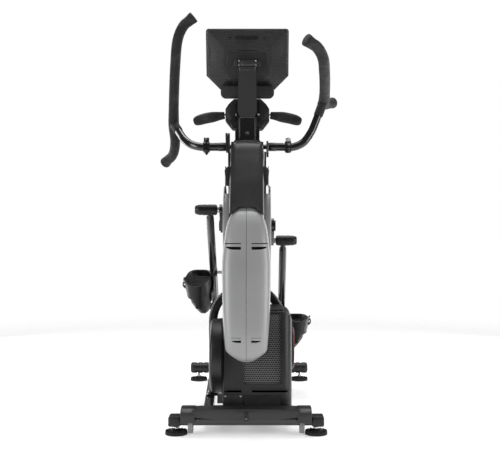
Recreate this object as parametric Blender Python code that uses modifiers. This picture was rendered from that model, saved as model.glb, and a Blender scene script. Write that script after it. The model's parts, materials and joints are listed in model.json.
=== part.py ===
"""Elliptical trainer: a fan-braked stepper with swinging handles and straight, roller-carried legs.

Metres, +Z up. The machine's front faces -Y and the user stands at +Y. "Left" is -X.
The origin is on the floor, in the middle of the machine's outline. Depths are given as
distances behind the front feet, and at() turns them into the frame's Y.
"""

import math

import bmesh
import bpy
from mathutils import Matrix, Vector

# ---------------------------------------------------------------- driving dimensions
FRONT_FEET_TO_ORIGIN = 0.552
SIDES = (("left", -1), ("right", 1))
GAP = 0.0004

FOOT_RADIUS = 0.0425
FRONT_FOOT_X = 0.261
REAR_FOOT_X = 0.253
REAR_FOOT_DEPTH = 1.15
FOOT_STEM_RADIUS = 0.005

RAIL_TOP = 0.084
FRONT_CAP = ((0.2435, 0.290), (-0.032, 0.036), (0.032, 0.070))
TUBE_WALL = 0.004
SPINE_HALF_WIDTH = 0.030
POST_FRONT = 0.352
POST_BACK = 0.412
POST_TOP = 1.300

ARCH_RADIUS = 0.140
ARCH_CENTRE_Z = 0.3865
ARCH_DEPTH = 0.330
ARCH_TUBE = 0.036

CRANK_DEPTH = 0.365
CRANK_Z = 0.7785
CRANK_RADIUS = 0.127
LEFT_PIN_ANGLE = 150.0
SHAFT_RADIUS = 0.0125
DISC_RADIUS = 0.165
DISC_INNER_X = 0.0885
DISC_OUTER_X = 0.096
ARM_INNER_X = 0.099
ARM_OUTER_X = 0.111

PULLEY_RADIUS = 0.140
FAN_PULLEY_RADIUS = 0.020
BELT_X = (-0.058, -0.045)
BELT_THICKNESS = 0.003
FAN_DEPTH = 0.163
FAN_Z = 0.270

ECCENTRIC = 0.037
ECCENTRIC_RADIUS = 0.055
ROD_COLLAR_RADIUS = 0.070
ROD_X = (0.069, 0.077)
ROCKER_X = (0.0785, 0.0865)
ROCKER_DEPTH = 0.248
ROCKER_Z = {"left": 1.139, "right": 1.065}

LEG_X = 0.151
LEG_RADIUS = 0.0155
LEG_SLOPE = {"left": 39.5, "right": 50.0}
LEG_TO_ROLLER = 0.420
LEG_TO_PEDAL = 0.520
LEG_LENGTH = 0.700
BARREL_X = (0.120, 0.183)
BARREL_RADIUS = 0.022
PIN_RADIUS = 0.010

PEDAL_X = (0.1685, 0.280)
PEDAL_LENGTH = 0.350
PEDAL_TILT = {"left": 13.5, "right": 4.5}

ROLLER_X = (0.0765, 0.0935)
ROLLER_RADIUS = 0.036
RAIL_SLOPE = 47.6
RAIL_HALF_HEIGHT = 0.020

SWING_DEPTH = 0.330
SWING_Z = 1.102
AXLE_RADIUS = 0.010
HANDLE_TUBE_RADIUS = 0.0165
GRIP_CORE_RADIUS = 0.0140
GRIP_RADIUS = 0.0200
GRIP_END_FLARE = 1.30
HANDLE_SPREAD = 48.0

SHROUD_WALL = 0.003
UPPER_HALF_WIDTH = 0.067
HOUSING_X = (-0.090, 0.173)
HOUSING_Z = (0.0850, 0.453)
HOUSING_DEPTH = (0.045, 0.305)
HOUSING_WALL = 0.004
GRILLE_X = (-0.013, 0.133)
GRILLE_Z = (0.178, 0.440)

HINGE_DEPTH = 0.343
HINGE_Z = 1.4465
CONSOLE_HALF_WIDTH = 0.173
CONSOLE_LEAN = 15.0


def at(x, depth, z):
    """A point given by its distance behind the front feet, in the frame's coordinates."""
    return Vector((x, depth - FRONT_FEET_TO_ORIGIN, z))


# ---------------------------------------------------------------- scene and materials
for old in list(bpy.data.objects):
    bpy.data.objects.remove(old, do_unlink=True)

trainer = bpy.data.collections.new("elliptical_trainer")
cutters = bpy.data.collections.new("cutters")
bpy.context.scene.collection.children.link(trainer)
bpy.context.scene.collection.children.link(cutters)
cutters.hide_render = True


def material(name, colour, roughness, metallic=0.0):
    made = bpy.data.materials.new(name)
    made.use_nodes = True
    shader = made.node_tree.nodes["Principled BSDF"]
    shader.inputs["Base Color"].default_value = (*colour, 1.0)
    shader.inputs["Roughness"].default_value = roughness
    shader.inputs["Metallic"].default_value = metallic
    made.diffuse_color = (*colour, 1.0)
    return made


BLACK_PAINT = material("black_paint", (0.012, 0.012, 0.013), 0.22)
DARK_PLASTIC = material("dark_plastic", (0.035, 0.035, 0.037), 0.48)
CHARCOAL_PLASTIC = material("charcoal_plastic", (0.055, 0.055, 0.057), 0.42)
GREY_PLASTIC = material("grey_plastic", (0.31, 0.31, 0.32), 0.38)
GRIP_FOAM = material("grip_foam", (0.022, 0.022, 0.023), 0.85)
RUBBER = material("rubber", (0.016, 0.016, 0.017), 0.75)
STEEL = material("steel", (0.56, 0.56, 0.58), 0.30, 1.0)
CAST_METAL = material("cast_metal", (0.20, 0.20, 0.21), 0.50, 0.9)
SCREEN_GLASS = material("screen_glass", (0.006, 0.006, 0.008), 0.06)


# ---------------------------------------------------------------- modelling helpers
def place(mesh, name, look, location=(0, 0, 0), rotation=None):
    """An object of this mesh in the trainer's collection."""
    obj = bpy.data.objects.new(name, mesh)
    trainer.objects.link(obj)
    obj.location = location
    if rotation is not None:
        obj.rotation_euler = rotation.to_euler()
    mesh.materials.append(look)
    return obj


def smooth(obj, angle=35.0):
    obj.data.shade_smooth()
    obj.data.set_sharp_from_angle(angle=math.radians(angle))
    return obj


def bevel(obj, width, segments=2):
    edge = obj.modifiers.new("Bevel", "BEVEL")
    edge.width = width
    edge.segments = segments
    edge.limit_method = "ANGLE"
    edge.angle_limit = math.radians(40)
    return obj


def block(name, look, low, high, rounding=0.0, segments=2):
    """A box between two corners, with its edges rounded."""
    low, high = Vector(low), Vector(high)
    size = high - low
    body = bmesh.new()
    bmesh.ops.create_cube(body, size=1.0, matrix=Matrix.Diagonal((*size, 1.0)))
    mesh = bpy.data.meshes.new(name)
    body.to_mesh(mesh)
    body.free()
    obj = place(mesh, name, look, (low + high) / 2)
    if rounding:
        bevel(obj, rounding, segments)
    return obj


def sides_for(radius):
    """Enough sides for a round piece of this radius to read as round."""
    return 36 if radius > 0.05 else 20 if radius > 0.012 else 14


def rod(name, look, start, end, radius, end_radius=None, sides=None):
    """A cylinder, or a cone, between two points."""
    start, end = Vector(start), Vector(end)
    run = end - start
    body = bmesh.new()
    bmesh.ops.create_cone(
        body,
        cap_ends=True,
        segments=sides or sides_for(radius),
        radius1=radius,
        radius2=radius if end_radius is None else end_radius,
        depth=run.length,
    )
    mesh = bpy.data.meshes.new(name)
    body.to_mesh(mesh)
    body.free()
    turn = Vector((0, 0, 1)).rotation_difference(run)
    return smooth(place(mesh, name, look, (start + end) / 2, turn))


def turned(name, look, profile, location, turn=None, steps=24):
    """A solid of revolution: (radius, height) points from the top of its outer side to the bottom."""
    mesh = bpy.data.meshes.new(name)
    points = [(radius, 0.0, height) for radius, height in profile]
    mesh.from_pydata(points, [(i, i + 1) for i in range(len(points) - 1)], [])
    obj = place(mesh, name, look, location, turn)
    screw = obj.modifiers.new("Screw", "SCREW")
    screw.steps = steps
    screw.render_steps = steps
    screw.use_merge_vertices = True
    screw.merge_threshold = 0.0001
    return obj


def mesh_of(curve_object, name, look):
    """The curve as a welded mesh object, which can take a Boolean."""
    bpy.context.view_layer.update()
    graph = bpy.context.evaluated_depsgraph_get()
    mesh = bpy.data.meshes.new_from_object(curve_object.evaluated_get(graph))
    body = bmesh.new()
    body.from_mesh(mesh)
    bmesh.ops.remove_doubles(body, verts=body.verts, dist=1e-6)
    bmesh.ops.recalc_face_normals(body, faces=body.faces)
    body.to_mesh(mesh)
    body.free()
    mesh.materials.clear()
    matrix = curve_object.matrix_world.copy()
    bpy.data.objects.remove(curve_object, do_unlink=True)
    obj = place(mesh, name, look)
    obj.matrix_world = matrix
    return smooth(obj)


def tube(name, look, points, radius, radii=None, resolution=3):
    """A round bar along the points."""
    curve = bpy.data.curves.new(name + "_path", "CURVE")
    curve.dimensions = "3D"
    curve.bevel_depth = radius
    curve.bevel_resolution = resolution
    curve.use_fill_caps = True
    line = curve.splines.new("POLY")
    line.points.add(len(points) - 1)
    for i, point in enumerate(points):
        line.points[i].co = (*point, 1.0)
        line.points[i].radius = radii[i] if radii else 1.0
    path = bpy.data.objects.new(name + "_path", curve)
    trainer.objects.link(path)
    return mesh_of(path, name, look)


PLANES = {
    "X": Matrix(((0, 0, 1), (1, 0, 0), (0, 1, 0))),
    "Y": Matrix(((1, 0, 0), (0, 0, -1), (0, 1, 0))),
}


def plate(name, look, loops, axis, span):
    """An outline extruded along X or Y; the loops after the first are holes in it.

    Along X the loops hold (depth, z) pairs, and along Y they hold (x, z) pairs.
    """
    curve = bpy.data.curves.new(name + "_outline", "CURVE")
    curve.dimensions = "2D"
    curve.fill_mode = "BOTH"
    curve.extrude = (span[1] - span[0]) / 2
    for loop in loops:
        line = curve.splines.new("POLY")
        line.points.add(len(loop) - 1)
        line.use_cyclic_u = True
        for i, (u, v) in enumerate(loop):
            along = u - FRONT_FEET_TO_ORIGIN if axis == "X" else u
            line.points[i].co = (along, v, 0.0, 1.0)
    path = bpy.data.objects.new(name + "_outline", curve)
    trainer.objects.link(path)
    middle = sum(span) / 2
    path.matrix_world = PLANES[axis].to_4x4()
    path.location = (middle, 0, 0) if axis == "X" else (0, middle - FRONT_FEET_TO_ORIGIN, 0)
    return mesh_of(path, name, look)


def loft(name, look, rings):
    """A solid through rings of equally many points, with its first and last ring capped."""
    body = bmesh.new()
    rows = [[body.verts.new(point) for point in ring] for ring in rings]
    count = len(rows[0])
    for low, high in zip(rows, rows[1:]):
        for i in range(count):
            j = (i + 1) % count
            body.faces.new((low[i], low[j], high[j], high[i]))
    body.faces.new(rows[0])
    body.faces.new(rows[-1])
    bmesh.ops.recalc_face_normals(body, faces=body.faces)
    mesh = bpy.data.meshes.new(name)
    body.to_mesh(mesh)
    body.free()
    return smooth(place(mesh, name, look), 40)


def boolean(obj, operation, tools):
    """Adds Boolean modifiers that use the tools, and puts the tools away with the cutters."""
    for tool in tools:
        step = obj.modifiers.new(operation.title(), "BOOLEAN")
        step.operation = operation
        step.object = tool
        tool.hide_render = True
        tool.display_type = "WIRE"
        trainer.objects.unlink(tool)
        cutters.objects.link(tool)
    return obj


def joined(obj, *tools):
    return boolean(obj, "UNION", tools)


def cut(obj, *tools):
    return boolean(obj, "DIFFERENCE", tools)


def pivot(name, location):
    """An empty on a joint's axis, to which the moving pieces are parented."""
    empty = bpy.data.objects.new(name, None)
    empty.location = location
    empty.empty_display_size = 0.03
    trainer.objects.link(empty)
    return empty


def hang(empty, *pieces):
    for piece in pieces:
        piece.parent = empty
        piece.matrix_parent_inverse = Matrix.Translation(-empty.location)


def arc(centre, radius, start, end, count):
    """Points on a circle, from one angle to another in degrees."""
    turns = [math.radians(start + (end - start) * i / (count - 1)) for i in range(count)]
    return [(centre[0] + radius * math.cos(t), centre[1] + radius * math.sin(t)) for t in turns]


def rounded_path(points, steps=2):
    """A smooth path through the points (Catmull-Rom), with a number of steps between each two."""
    points = [Vector(p) for p in points]
    ends = [2 * points[0] - points[1], *points, 2 * points[-1] - points[-2]]
    path = []
    for i in range(len(points) - 1):
        a, b, c, d = ends[i : i + 4]
        for k in range(steps):
            t = k / steps
            bend = 2 * b + (c - a) * t + (2 * a - 5 * b + 4 * c - d) * t * t
            path.append((bend + (3 * b - a - 3 * c + d) * t**3) / 2)
    path.append(points[-1])
    return path


def down_slope(start, angle, distance):
    """The (depth, z) reached from a start by going this far down towards the rear."""
    turn = math.radians(angle)
    return start[0] + distance * math.cos(turn), start[1] - distance * math.sin(turn)


def side_x(side, x):
    """A span of X or one X, mirrored to the side it is on."""
    return side * x if isinstance(x, float) else tuple(sorted((side * x[0], side * x[1])))


def side_block(name, look, side, x, depth, z, rounding=0.0):
    low_x, high_x = side_x(side, x)
    return block(name, look, at(low_x, depth[0], z[0]), at(high_x, depth[1], z[1]), rounding)


def side_rod(name, look, side, x, centre, radius, end_radius=None, sides=None):
    """A cylinder along X at a (depth, z), from the inner to the outer x."""
    start, end = at(side * x[0], *centre), at(side * x[1], *centre)
    return rod(name, look, start, end, radius, end_radius, sides)


CRANK = (CRANK_DEPTH, CRANK_Z)
FAN = (FAN_DEPTH, FAN_Z)
SWING = (SWING_DEPTH, SWING_Z)
pin_turn = math.radians(LEFT_PIN_ANGLE)
pin_reach = (CRANK_RADIUS * math.cos(pin_turn), CRANK_RADIUS * math.sin(pin_turn))
PIN = {
    "left": (CRANK[0] + pin_reach[0], CRANK[1] + pin_reach[1]),
    "right": (CRANK[0] - pin_reach[0], CRANK[1] - pin_reach[1]),
}
ROLLER = {name: down_slope(PIN[name], LEG_SLOPE[name], LEG_TO_ROLLER) for name, _ in SIDES}
PEDAL = {name: down_slope(PIN[name], LEG_SLOPE[name], LEG_TO_PEDAL) for name, _ in SIDES}


# ---------------------------------------------------------------- base
def base():
    bar = block("front_crossbar", BLACK_PAINT, at(-0.196, -0.026, 0.036), at(0.196, 0.040, 0.066), 0.006)
    strap = block("front_strap", BLACK_PAINT, at(-0.290, 0.0365, 0.038), at(0.290, 0.050, 0.068))
    joined(bar, strap)
    wing = [(-0.243, 0.052), (-0.243, 0.074), (-0.150, 0.096), (-0.060, 0.103)]
    wing += [(-x, z) for x, z in reversed(wing)]
    cover = bevel(plate("front_foot_cover", DARK_PLASTIC, [wing], "Y", (-0.046, 0.0355)), 0.004)
    channel = block("cover_channel", DARK_PLASTIC, at(-0.199, -0.0265, 0.0), at(0.199, 0.08, 0.0665))
    cut(cover, channel)
    for name, side in SIDES:
        well = side_block("wheel_well_" + name, RUBBER, side, (0.196, 0.2265), (-0.040, 0.08), (0.0, 0.074))
        cut(cover, well)
        cap = side_block("front_end_cap_" + name, DARK_PLASTIC, side, *FRONT_CAP, 0.006)
        hole = at(side * FRONT_FOOT_X, 0.0, 0.0)
        cut(cap, rod("stem_hole_front_" + name, STEEL, hole, hole + Vector((0, 0, 0.055)), 0.0057))
    block("rear_crossbar", BLACK_PAINT, at(-0.2045, 1.122, 0.040), at(0.2045, 1.178, 0.088), 0.006)
    for name, side in SIDES:
        cap = rear_end_cap(name, side)
        hole = at(side * REAR_FOOT_X, REAR_FOOT_DEPTH, 0.0)
        cut(cap, rod("stem_hole_rear_" + name, STEEL, hole, hole + Vector((0, 0, 0.060)), 0.0057))
        base_rail(name, side)


def rear_end_cap(name, side):
    """A round, ribbed end on the rear crossbar."""
    ribs = [(0.0, 0.0892)]
    for i in range(3):
        start = 0.0892 - i * 0.0290
        ribs += [(0.0265, start), (0.0265, start - 0.0220)]
        ribs += [(0.0235, start - 0.0230), (0.0235, start - 0.0280)]
    ribs += [(0.0235, 0.0), (0.0, 0.0)]
    turn = Matrix.Rotation(math.radians(90 * side), 3, "Y")
    centre = at(side * 0.205, REAR_FOOT_DEPTH, 0.0635)
    return turned("rear_end_cap_" + name, DARK_PLASTIC, ribs, centre, turn, 20)


def base_rail(name, side):
    """A side rail that spreads a little towards the rear."""
    front, back = at(side * 0.146, 0.052, 0), at(side * 0.172, 1.119, 0)
    run = back - front
    middle = (front + back) / 2 + Vector((0, 0, (RAIL_TOP + 0.042) / 2))
    turn = Vector((0, 1, 0)).rotation_difference(run)
    size = Vector((0.038, run.length, RAIL_TOP - 0.042))
    wall = Vector((TUBE_WALL, -0.01, TUBE_WALL))
    rail = block("base_rail_" + name, BLACK_PAINT, -size / 2, size / 2, 0.003, 1)
    hollow = block("rail_hollow_" + name, BLACK_PAINT, wall - size / 2, size / 2 - wall)
    for piece in (rail, hollow):
        piece.location = middle
        piece.rotation_euler = turn.to_euler()
    cut(rail, hollow)


def feet():
    profile = [(0.0, 0.046), (FOOT_STEM_RADIUS, 0.046), (FOOT_STEM_RADIUS, 0.021), (0.016, 0.021)]
    profile += [(0.020, 0.017), (0.036, 0.015), (FOOT_RADIUS, 0.008), (FOOT_RADIUS, 0.0), (0.0, 0.0)]
    for row, x, depth in (("front", FRONT_FOOT_X, 0.0), ("rear", REAR_FOOT_X, REAR_FOOT_DEPTH)):
        for name, side in SIDES:
            turned(f"leveling_foot_{row}_{name}", RUBBER, profile, at(side * x, depth, 0.0), steps=20)


def transport_wheels():
    profile = [(0.0, 0.0105), (0.004, 0.0105), (0.004, 0.0085), (0.012, 0.0085), (0.030, 0.0085)]
    profile += [(0.0325, 0.006)]
    profile += [(r, -h) for r, h in reversed(profile)]
    turn = Matrix.Rotation(math.radians(90), 3, "Y")
    for name, side in SIDES:
        axle = at(side * 0.2075, -0.002, 0.036)
        wheel = turned("transport_wheel_" + name, RUBBER, profile, axle, turn, 20)
        hang(pivot("wheel_axis_" + name, axle), wheel)


# ---------------------------------------------------------------- frame
def main_frame():
    half = SPINE_HALF_WIDTH
    spine = block("main_frame", BLACK_PAINT, at(-half, 0.0505, 0.036), at(half, 1.1215, RAIL_TOP))
    post = block("post", BLACK_PAINT, at(-half, POST_FRONT, 0.060), at(half, POST_BACK, POST_TOP))
    bearing = rod("crank_bearing", BLACK_PAINT, at(-0.0425, *CRANK), at(0.040, *CRANK), 0.030)
    neck = block("rail_neck", BLACK_PAINT, at(-0.018, 0.400, 0.572), at(0.018, 0.455, 0.602))
    yoke = block("rail_yoke", BLACK_PAINT, at(-0.094, 0.438, 0.566), at(0.094, 0.4635, 0.608))
    foot = block("rail_foot", BLACK_PAINT, at(-0.100, 0.915, 0.036), at(0.100, 1.000, 0.0555))
    axle = rod("swing_axle", STEEL, at(-0.186, *SWING), at(0.186, *SWING), AXLE_RADIUS)
    boss = block("axle_boss", BLACK_PAINT, at(-half, 0.316, 1.084), at(half, 0.360, 1.115))
    ties = [
        block(f"tie_{i}", BLACK_PAINT, at(-0.124, depth, 0.046), at(0.124, depth + 0.05, 0.078))
        for i, depth in enumerate((0.34, 0.80))
    ]
    joined(spine, post, bearing, neck, yoke, foot, boss, axle, *ties)
    wall = TUBE_WALL
    low, high = at(wall - half, 0.04, 0.036 + wall), at(half - wall, 1.13, RAIL_TOP - wall)
    spine_hollow = block("spine_hollow", BLACK_PAINT, low, high)
    low, high = at(wall - half, POST_FRONT + wall, 0.09), at(half - wall, POST_BACK - wall, 1.31)
    post_hollow = block("post_hollow", BLACK_PAINT, low, high)
    shaft = rod("shaft_bore", STEEL, at(-0.10, *CRANK), at(0.10, *CRANK), SHAFT_RADIUS + GAP)
    return cut(spine, spine_hollow, post_hollow, shaft)


def arch_brace():
    """A bent tube that stands on the base rails and passes over the fan housing."""
    arch = [at(x, ARCH_DEPTH, z) for x, z in arc((0, ARCH_CENTRE_Z), ARCH_RADIUS, 0, 180, 17)]
    feet = [at(x, ARCH_DEPTH, RAIL_TOP + 0.001) for x in (ARCH_RADIUS, -ARCH_RADIUS)]
    path = [feet[0], *arch, feet[1]]
    return tube("arch_brace", BLACK_PAINT, path, ARCH_TUBE / 2, resolution=4)


def roller_rails():
    offset = ROLLER_RADIUS + RAIL_HALF_HEIGHT + GAP
    slope = math.radians(RAIL_SLOPE)
    for name, side in SIDES:
        under = (ROLLER[name][0] - offset * math.sin(slope), ROLLER[name][1] - offset * math.cos(slope))
        to_top = (under[0] - 0.480) / math.cos(slope)
        to_foot = (0.962 - under[0]) / math.cos(slope)
        top, foot = down_slope(under, RAIL_SLOPE, -to_top), down_slope(under, RAIL_SLOPE, to_foot)
        size = Matrix.Diagonal((0.018, to_top + to_foot, 2 * RAIL_HALF_HEIGHT, 1.0))
        body = bmesh.new()
        bmesh.ops.create_cube(body, size=1.0, matrix=size)
        mesh = bpy.data.meshes.new("roller_rail_" + name)
        body.to_mesh(mesh)
        body.free()
        middle = (at(side * 0.085, *top) + at(side * 0.085, *foot)) / 2
        turn = Matrix.Rotation(-slope, 3, "X")
        bevel(place(mesh, "roller_rail_" + name, STEEL, middle, turn), 0.002, 1)


def mast():
    half = SPINE_HALF_WIDTH + GAP
    hole = [(-half, POST_FRONT - GAP), (half, POST_BACK + GAP)]
    collar = block("mast_collar", DARK_PLASTIC, at(-0.052, 0.336, 1.1245), at(0.052, 0.428, 1.178), 0.008)
    hub_outline = [(-0.091, 1.222), (-0.062, 1.181), (0.062, 1.181), (0.091, 1.222), (0.091, 1.262)]
    hub_outline += [(0.055, 1.3035), (-0.055, 1.3035), (-0.091, 1.262)]
    hub = bevel(plate("handlebar_hub", DARK_PLASTIC, [hub_outline], "Y", (0.3495, 0.462)), 0.006)
    for piece in (collar, hub):
        name = piece.name + "_hole"
        low, high = at(*hole[0], 1.0), at(*hole[1], 1.3005)
        cut(piece, block(name, DARK_PLASTIC, low, high))
    for name, side in SIDES:
        start, end = at(side * 0.0965, 0.400, 1.239), at(side * 0.225, 0.430, 1.2175)
        grip = tube("static_grip_" + name, GRIP_FOAM, rounded_path([start, (start + end) / 2, end]), 0.019)
        bevel(grip, 0.004)
    arm_top = HINGE_Z - 0.0155
    outline = [(-0.040, arm_top), (-0.040, 1.254)]
    outline += arc((0, 1.254), 0.040, 180, 360, 13)[1:]
    outline += [(0.040, arm_top)]
    arm = plate("console_arm", BLACK_PAINT, [outline], "Y", (0.335, 0.349))
    hinge = (HINGE_DEPTH, HINGE_Z)
    knuckle = rod("hinge_knuckle", STEEL, at(-0.040, *hinge), at(0.040, *hinge), 0.0125)
    neck = block("hinge_neck", BLACK_PAINT, at(-0.036, 0.336, arm_top - 0.016), at(0.036, 0.348, HINGE_Z))
    pin = rod("hinge_pin", STEEL, at(-0.056, *hinge), at(0.056, *hinge), 0.005)
    joined(arm, neck, knuckle, pin)


# ---------------------------------------------------------------- fan brake and its housing
def housing_outline(inset):
    """The housing from the front: square at the left and well rounded at the top right."""
    left, right = HOUSING_X[0] + inset, HOUSING_X[1] - inset
    low, high = HOUSING_Z[0] + inset, HOUSING_Z[1] - inset
    corner = 0.055 - inset
    top = arc((right - corner, high - corner), corner, 0, 90, 8)
    foot = arc((right - 0.02, low + 0.02), 0.02, -90, 0, 4)
    return [(left, low), *foot, *top, (left, high)]


def fan_housing():
    shell = plate("fan_housing", DARK_PLASTIC, [housing_outline(0.0)], "Y", HOUSING_DEPTH)
    inside = plate(
        "housing_inside",
        DARK_PLASTIC,
        [housing_outline(HOUSING_WALL)],
        "Y",
        (HOUSING_DEPTH[0] + HOUSING_WALL, HOUSING_DEPTH[1] - HOUSING_WALL),
    )
    door = block("drum_opening", DARK_PLASTIC, at(-0.10, 0.055, 0.135), at(-0.05, 0.295, 0.405))
    mouth = block(
        "grille_opening",
        DARK_PLASTIC,
        at(GRILLE_X[0], 0.03, GRILLE_Z[0]),
        at(GRILLE_X[1], 0.06, GRILLE_Z[1]),
    )
    slot = block("belt_slot", DARK_PLASTIC, at(-0.064, 0.110, 0.385), at(-0.039, 0.320, 0.460))
    cut(shell, inside, door, mouth, slot)
    low = at(GRILLE_X[0] + GAP, 0.0455, GRILLE_Z[0] + GAP)
    high = at(GRILLE_X[1] - GAP, 0.0485, GRILLE_Z[1] - GAP)
    block("intake_grille", DARK_PLASTIC, low, high)
    drum = side_rod("flywheel_cover", DARK_PLASTIC, -1, (0.0945, 0.141), FAN, 0.145)
    bevel(drum, 0.008, 2)
    cut(drum, side_rod("drum_inside", DARK_PLASTIC, -1, (0.080, 0.1375), FAN, 0.1415))
    ring = side_rod("fan_side_cover", DARK_PLASTIC, 1, (0.1735, 0.185), (0.180, 0.300), 0.085, 0.078)
    return ring


def belt_loop(offset):
    """The belt's outline, this far outside the pulleys' rims."""
    big, small = PULLEY_RADIUS + offset, FAN_PULLEY_RADIUS + offset
    run = Vector(FAN) - Vector(CRANK)
    heading = math.degrees(math.atan2(run.y, run.x))
    spread = math.degrees(math.acos((big - small) / run.length))
    around_big = arc(CRANK, big, heading + spread, heading + 360 - spread, 33)
    around_small = arc(FAN, small, heading - spread, heading + spread, 11)
    return around_big + around_small


def drive():
    shaft = rod("crankshaft", STEEL, at(-0.0985, *CRANK), at(0.0985, *CRANK), SHAFT_RADIUS)
    for name, side in SIDES:
        centre = (CRANK[0], CRANK[1] - side * ECCENTRIC)
        joined(shaft, side_rod("eccentric_" + name, STEEL, side, ROD_X, centre, ECCENTRIC_RADIUS))
    pulley = rod(
        "crank_pulley", CAST_METAL, at(BELT_X[0], *CRANK), at(BELT_X[1], *CRANK), PULLEY_RADIUS
    )
    cut(pulley, rod("pulley_bore", STEEL, at(-0.1, *CRANK), at(0.0, *CRANK), SHAFT_RADIUS + GAP))
    crank = pivot("crank_axis", at(0, *CRANK))
    hang(crank, shaft, pulley)
    for name, side in SIDES:
        disc = side_rod(
            "crank_cover_" + name, GREY_PLASTIC, side, (DISC_INNER_X, DISC_OUTER_X), CRANK, DISC_RADIUS
        )
        bevel(disc, 0.002, 1)
        rim = arc(CRANK, DISC_RADIUS - 0.0005, 132, 262, 15) + arc(CRANK, DISC_RADIUS - 0.004, 262, 132, 15)
        joined(disc, plate("disc_rim_" + name, GREY_PLASTIC, [rim], "X", side_x(side, (0.070, 0.092))))
        cut(disc, side_rod("disc_bore_" + name, STEEL, side, (0.08, 0.11), CRANK, SHAFT_RADIUS + GAP))
        hang(crank, crank_arm(name, side))
    loops = [belt_loop(BELT_THICKNESS), belt_loop(GAP)]
    plate("drive_belt", RUBBER, loops, "X", BELT_X)
    fan = side_rod("fan_flywheel", CAST_METAL, -1, (0.102, 0.132), FAN, 0.125)
    hub = rod("fan_hub", STEEL, at(-0.134, *FAN), at(0.160, *FAN), 0.010)
    sheave = rod("fan_sheave", STEEL, at(BELT_X[0], *FAN), at(BELT_X[1], *FAN), FAN_PULLEY_RADIUS)
    wheel = rod("fan_wheel", DARK_PLASTIC, at(-0.020, *FAN), at(0.140, *FAN), 0.105)
    joined(fan, hub, sheave, wheel)
    drum_hollow = rod("fan_hollow", STEEL, at(-0.012, *FAN), at(0.150, *FAN), 0.100)
    core = rod("fan_core", STEEL, at(-0.015, *FAN), at(0.160, *FAN), 0.010)
    joined(cut(fan, drum_hollow), core)
    hang(pivot("fan_axis", at(0, *FAN)), fan)


def link_outline(a, b, radius_a, radius_b):
    """The outline of a bar with round ends of two radii."""
    run = Vector(b) - Vector(a)
    heading = math.degrees(math.atan2(run.y, run.x))
    spread = math.degrees(math.acos((radius_a - radius_b) / run.length))
    around_a = arc(a, radius_a, heading + spread, heading + 360 - spread, 17)
    return around_a + arc(b, radius_b, heading - spread, heading + spread, 9)


def crank_arm(name, side):
    span = side_x(side, (ARM_INNER_X, ARM_OUTER_X))
    arm = plate("crank_arm_" + name, BLACK_PAINT, [link_outline(CRANK, PIN[name], 0.030, 0.022)], "X", span)
    hub = side_rod("arm_hub_" + name, BLACK_PAINT, side, (ARM_INNER_X, 0.117), CRANK, 0.022)
    pin = side_rod("arm_pin_" + name, STEEL, side, (0.105, 0.1825), PIN[name], PIN_RADIUS)
    return joined(arm, hub, pin)


# ---------------------------------------------------------------- rods, legs, rollers, pedals
def connecting_rods():
    for name, side in SIDES:
        centre = (CRANK[0], CRANK[1] - side * ECCENTRIC)
        top = (ROCKER_DEPTH, ROCKER_Z[name])
        span = side_x(side, ROD_X)
        bar = plate("connecting_rod_" + name, STEEL, [link_outline(centre, top, 0.016, 0.011)], "X", span)
        ring = side_rod("rod_ring_" + name, STEEL, side, ROD_X, centre, ROD_COLLAR_RADIUS)
        bore = side_rod("rod_bore_" + name, STEEL, side, (0.06, 0.09), centre, ECCENTRIC_RADIUS + GAP)
        eye = side_rod("rod_eye_" + name, STEEL, side, (0.06, 0.09), top, 0.006)
        joined(bar, ring)
        cut(bar, bore, eye)
        hang(pivot("rod_axis_" + name, at(side * ROD_X[0], *centre)), bar)


def legs():
    for name, side in SIDES:
        barrel = side_rod("leg_" + name, BLACK_PAINT, side, BARREL_X, PIN[name], BARREL_RADIUS)
        bottom = down_slope(PIN[name], LEG_SLOPE[name], LEG_LENGTH)
        start, end = at(side * LEG_X, *PIN[name]), at(side * LEG_X, *bottom)
        straight = rod("leg_tube_" + name, BLACK_PAINT, start, end, LEG_RADIUS)
        cap = side_rod("pivot_cap_" + name, DARK_PLASTIC, side, (0.1825, 0.210), PIN[name], 0.0215, 0.014)
        joined(barrel, straight, cap, pedal_bracket(name, side))
        cut(barrel, side_rod("leg_bore_" + name, STEEL, side, (0.10, 0.1835), PIN[name], PIN_RADIUS + GAP))
        axis = pivot("leg_axis_" + name, at(side * LEG_X, *PIN[name]))
        hang(axis, barrel, *pedal(name, side))


def pedal_turn(name):
    """A pedal's slope: the toe end, towards the front, is the lower one."""
    return Matrix.Rotation(math.radians(PEDAL_TILT[name]), 4, "X")


def on_pedal(obj, name):
    """Moves a piece that was modelled level at the origin to its pedal's place and slope."""
    obj.matrix_world = Matrix.Translation(at(0, *PEDAL[name])) @ pedal_turn(name) @ obj.matrix_world
    return obj


def level_block(name, look, side, x, y, z, rounding=0.0, segments=2):
    low_x, high_x = side_x(side, x)
    made = block(name, look, (low_x, y[0], z[0]), (high_x, y[1], z[1]), rounding, segments)
    made.matrix_world = Matrix.Translation(made.location)
    return made


def pedal_bracket(name, side):
    bracket = level_block(
        "pedal_bracket_" + name, BLACK_PAINT, side, (0.140, 0.205), (-0.075, 0.075), (-0.040, -0.0185)
    )
    return on_pedal(bracket, name)


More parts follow.
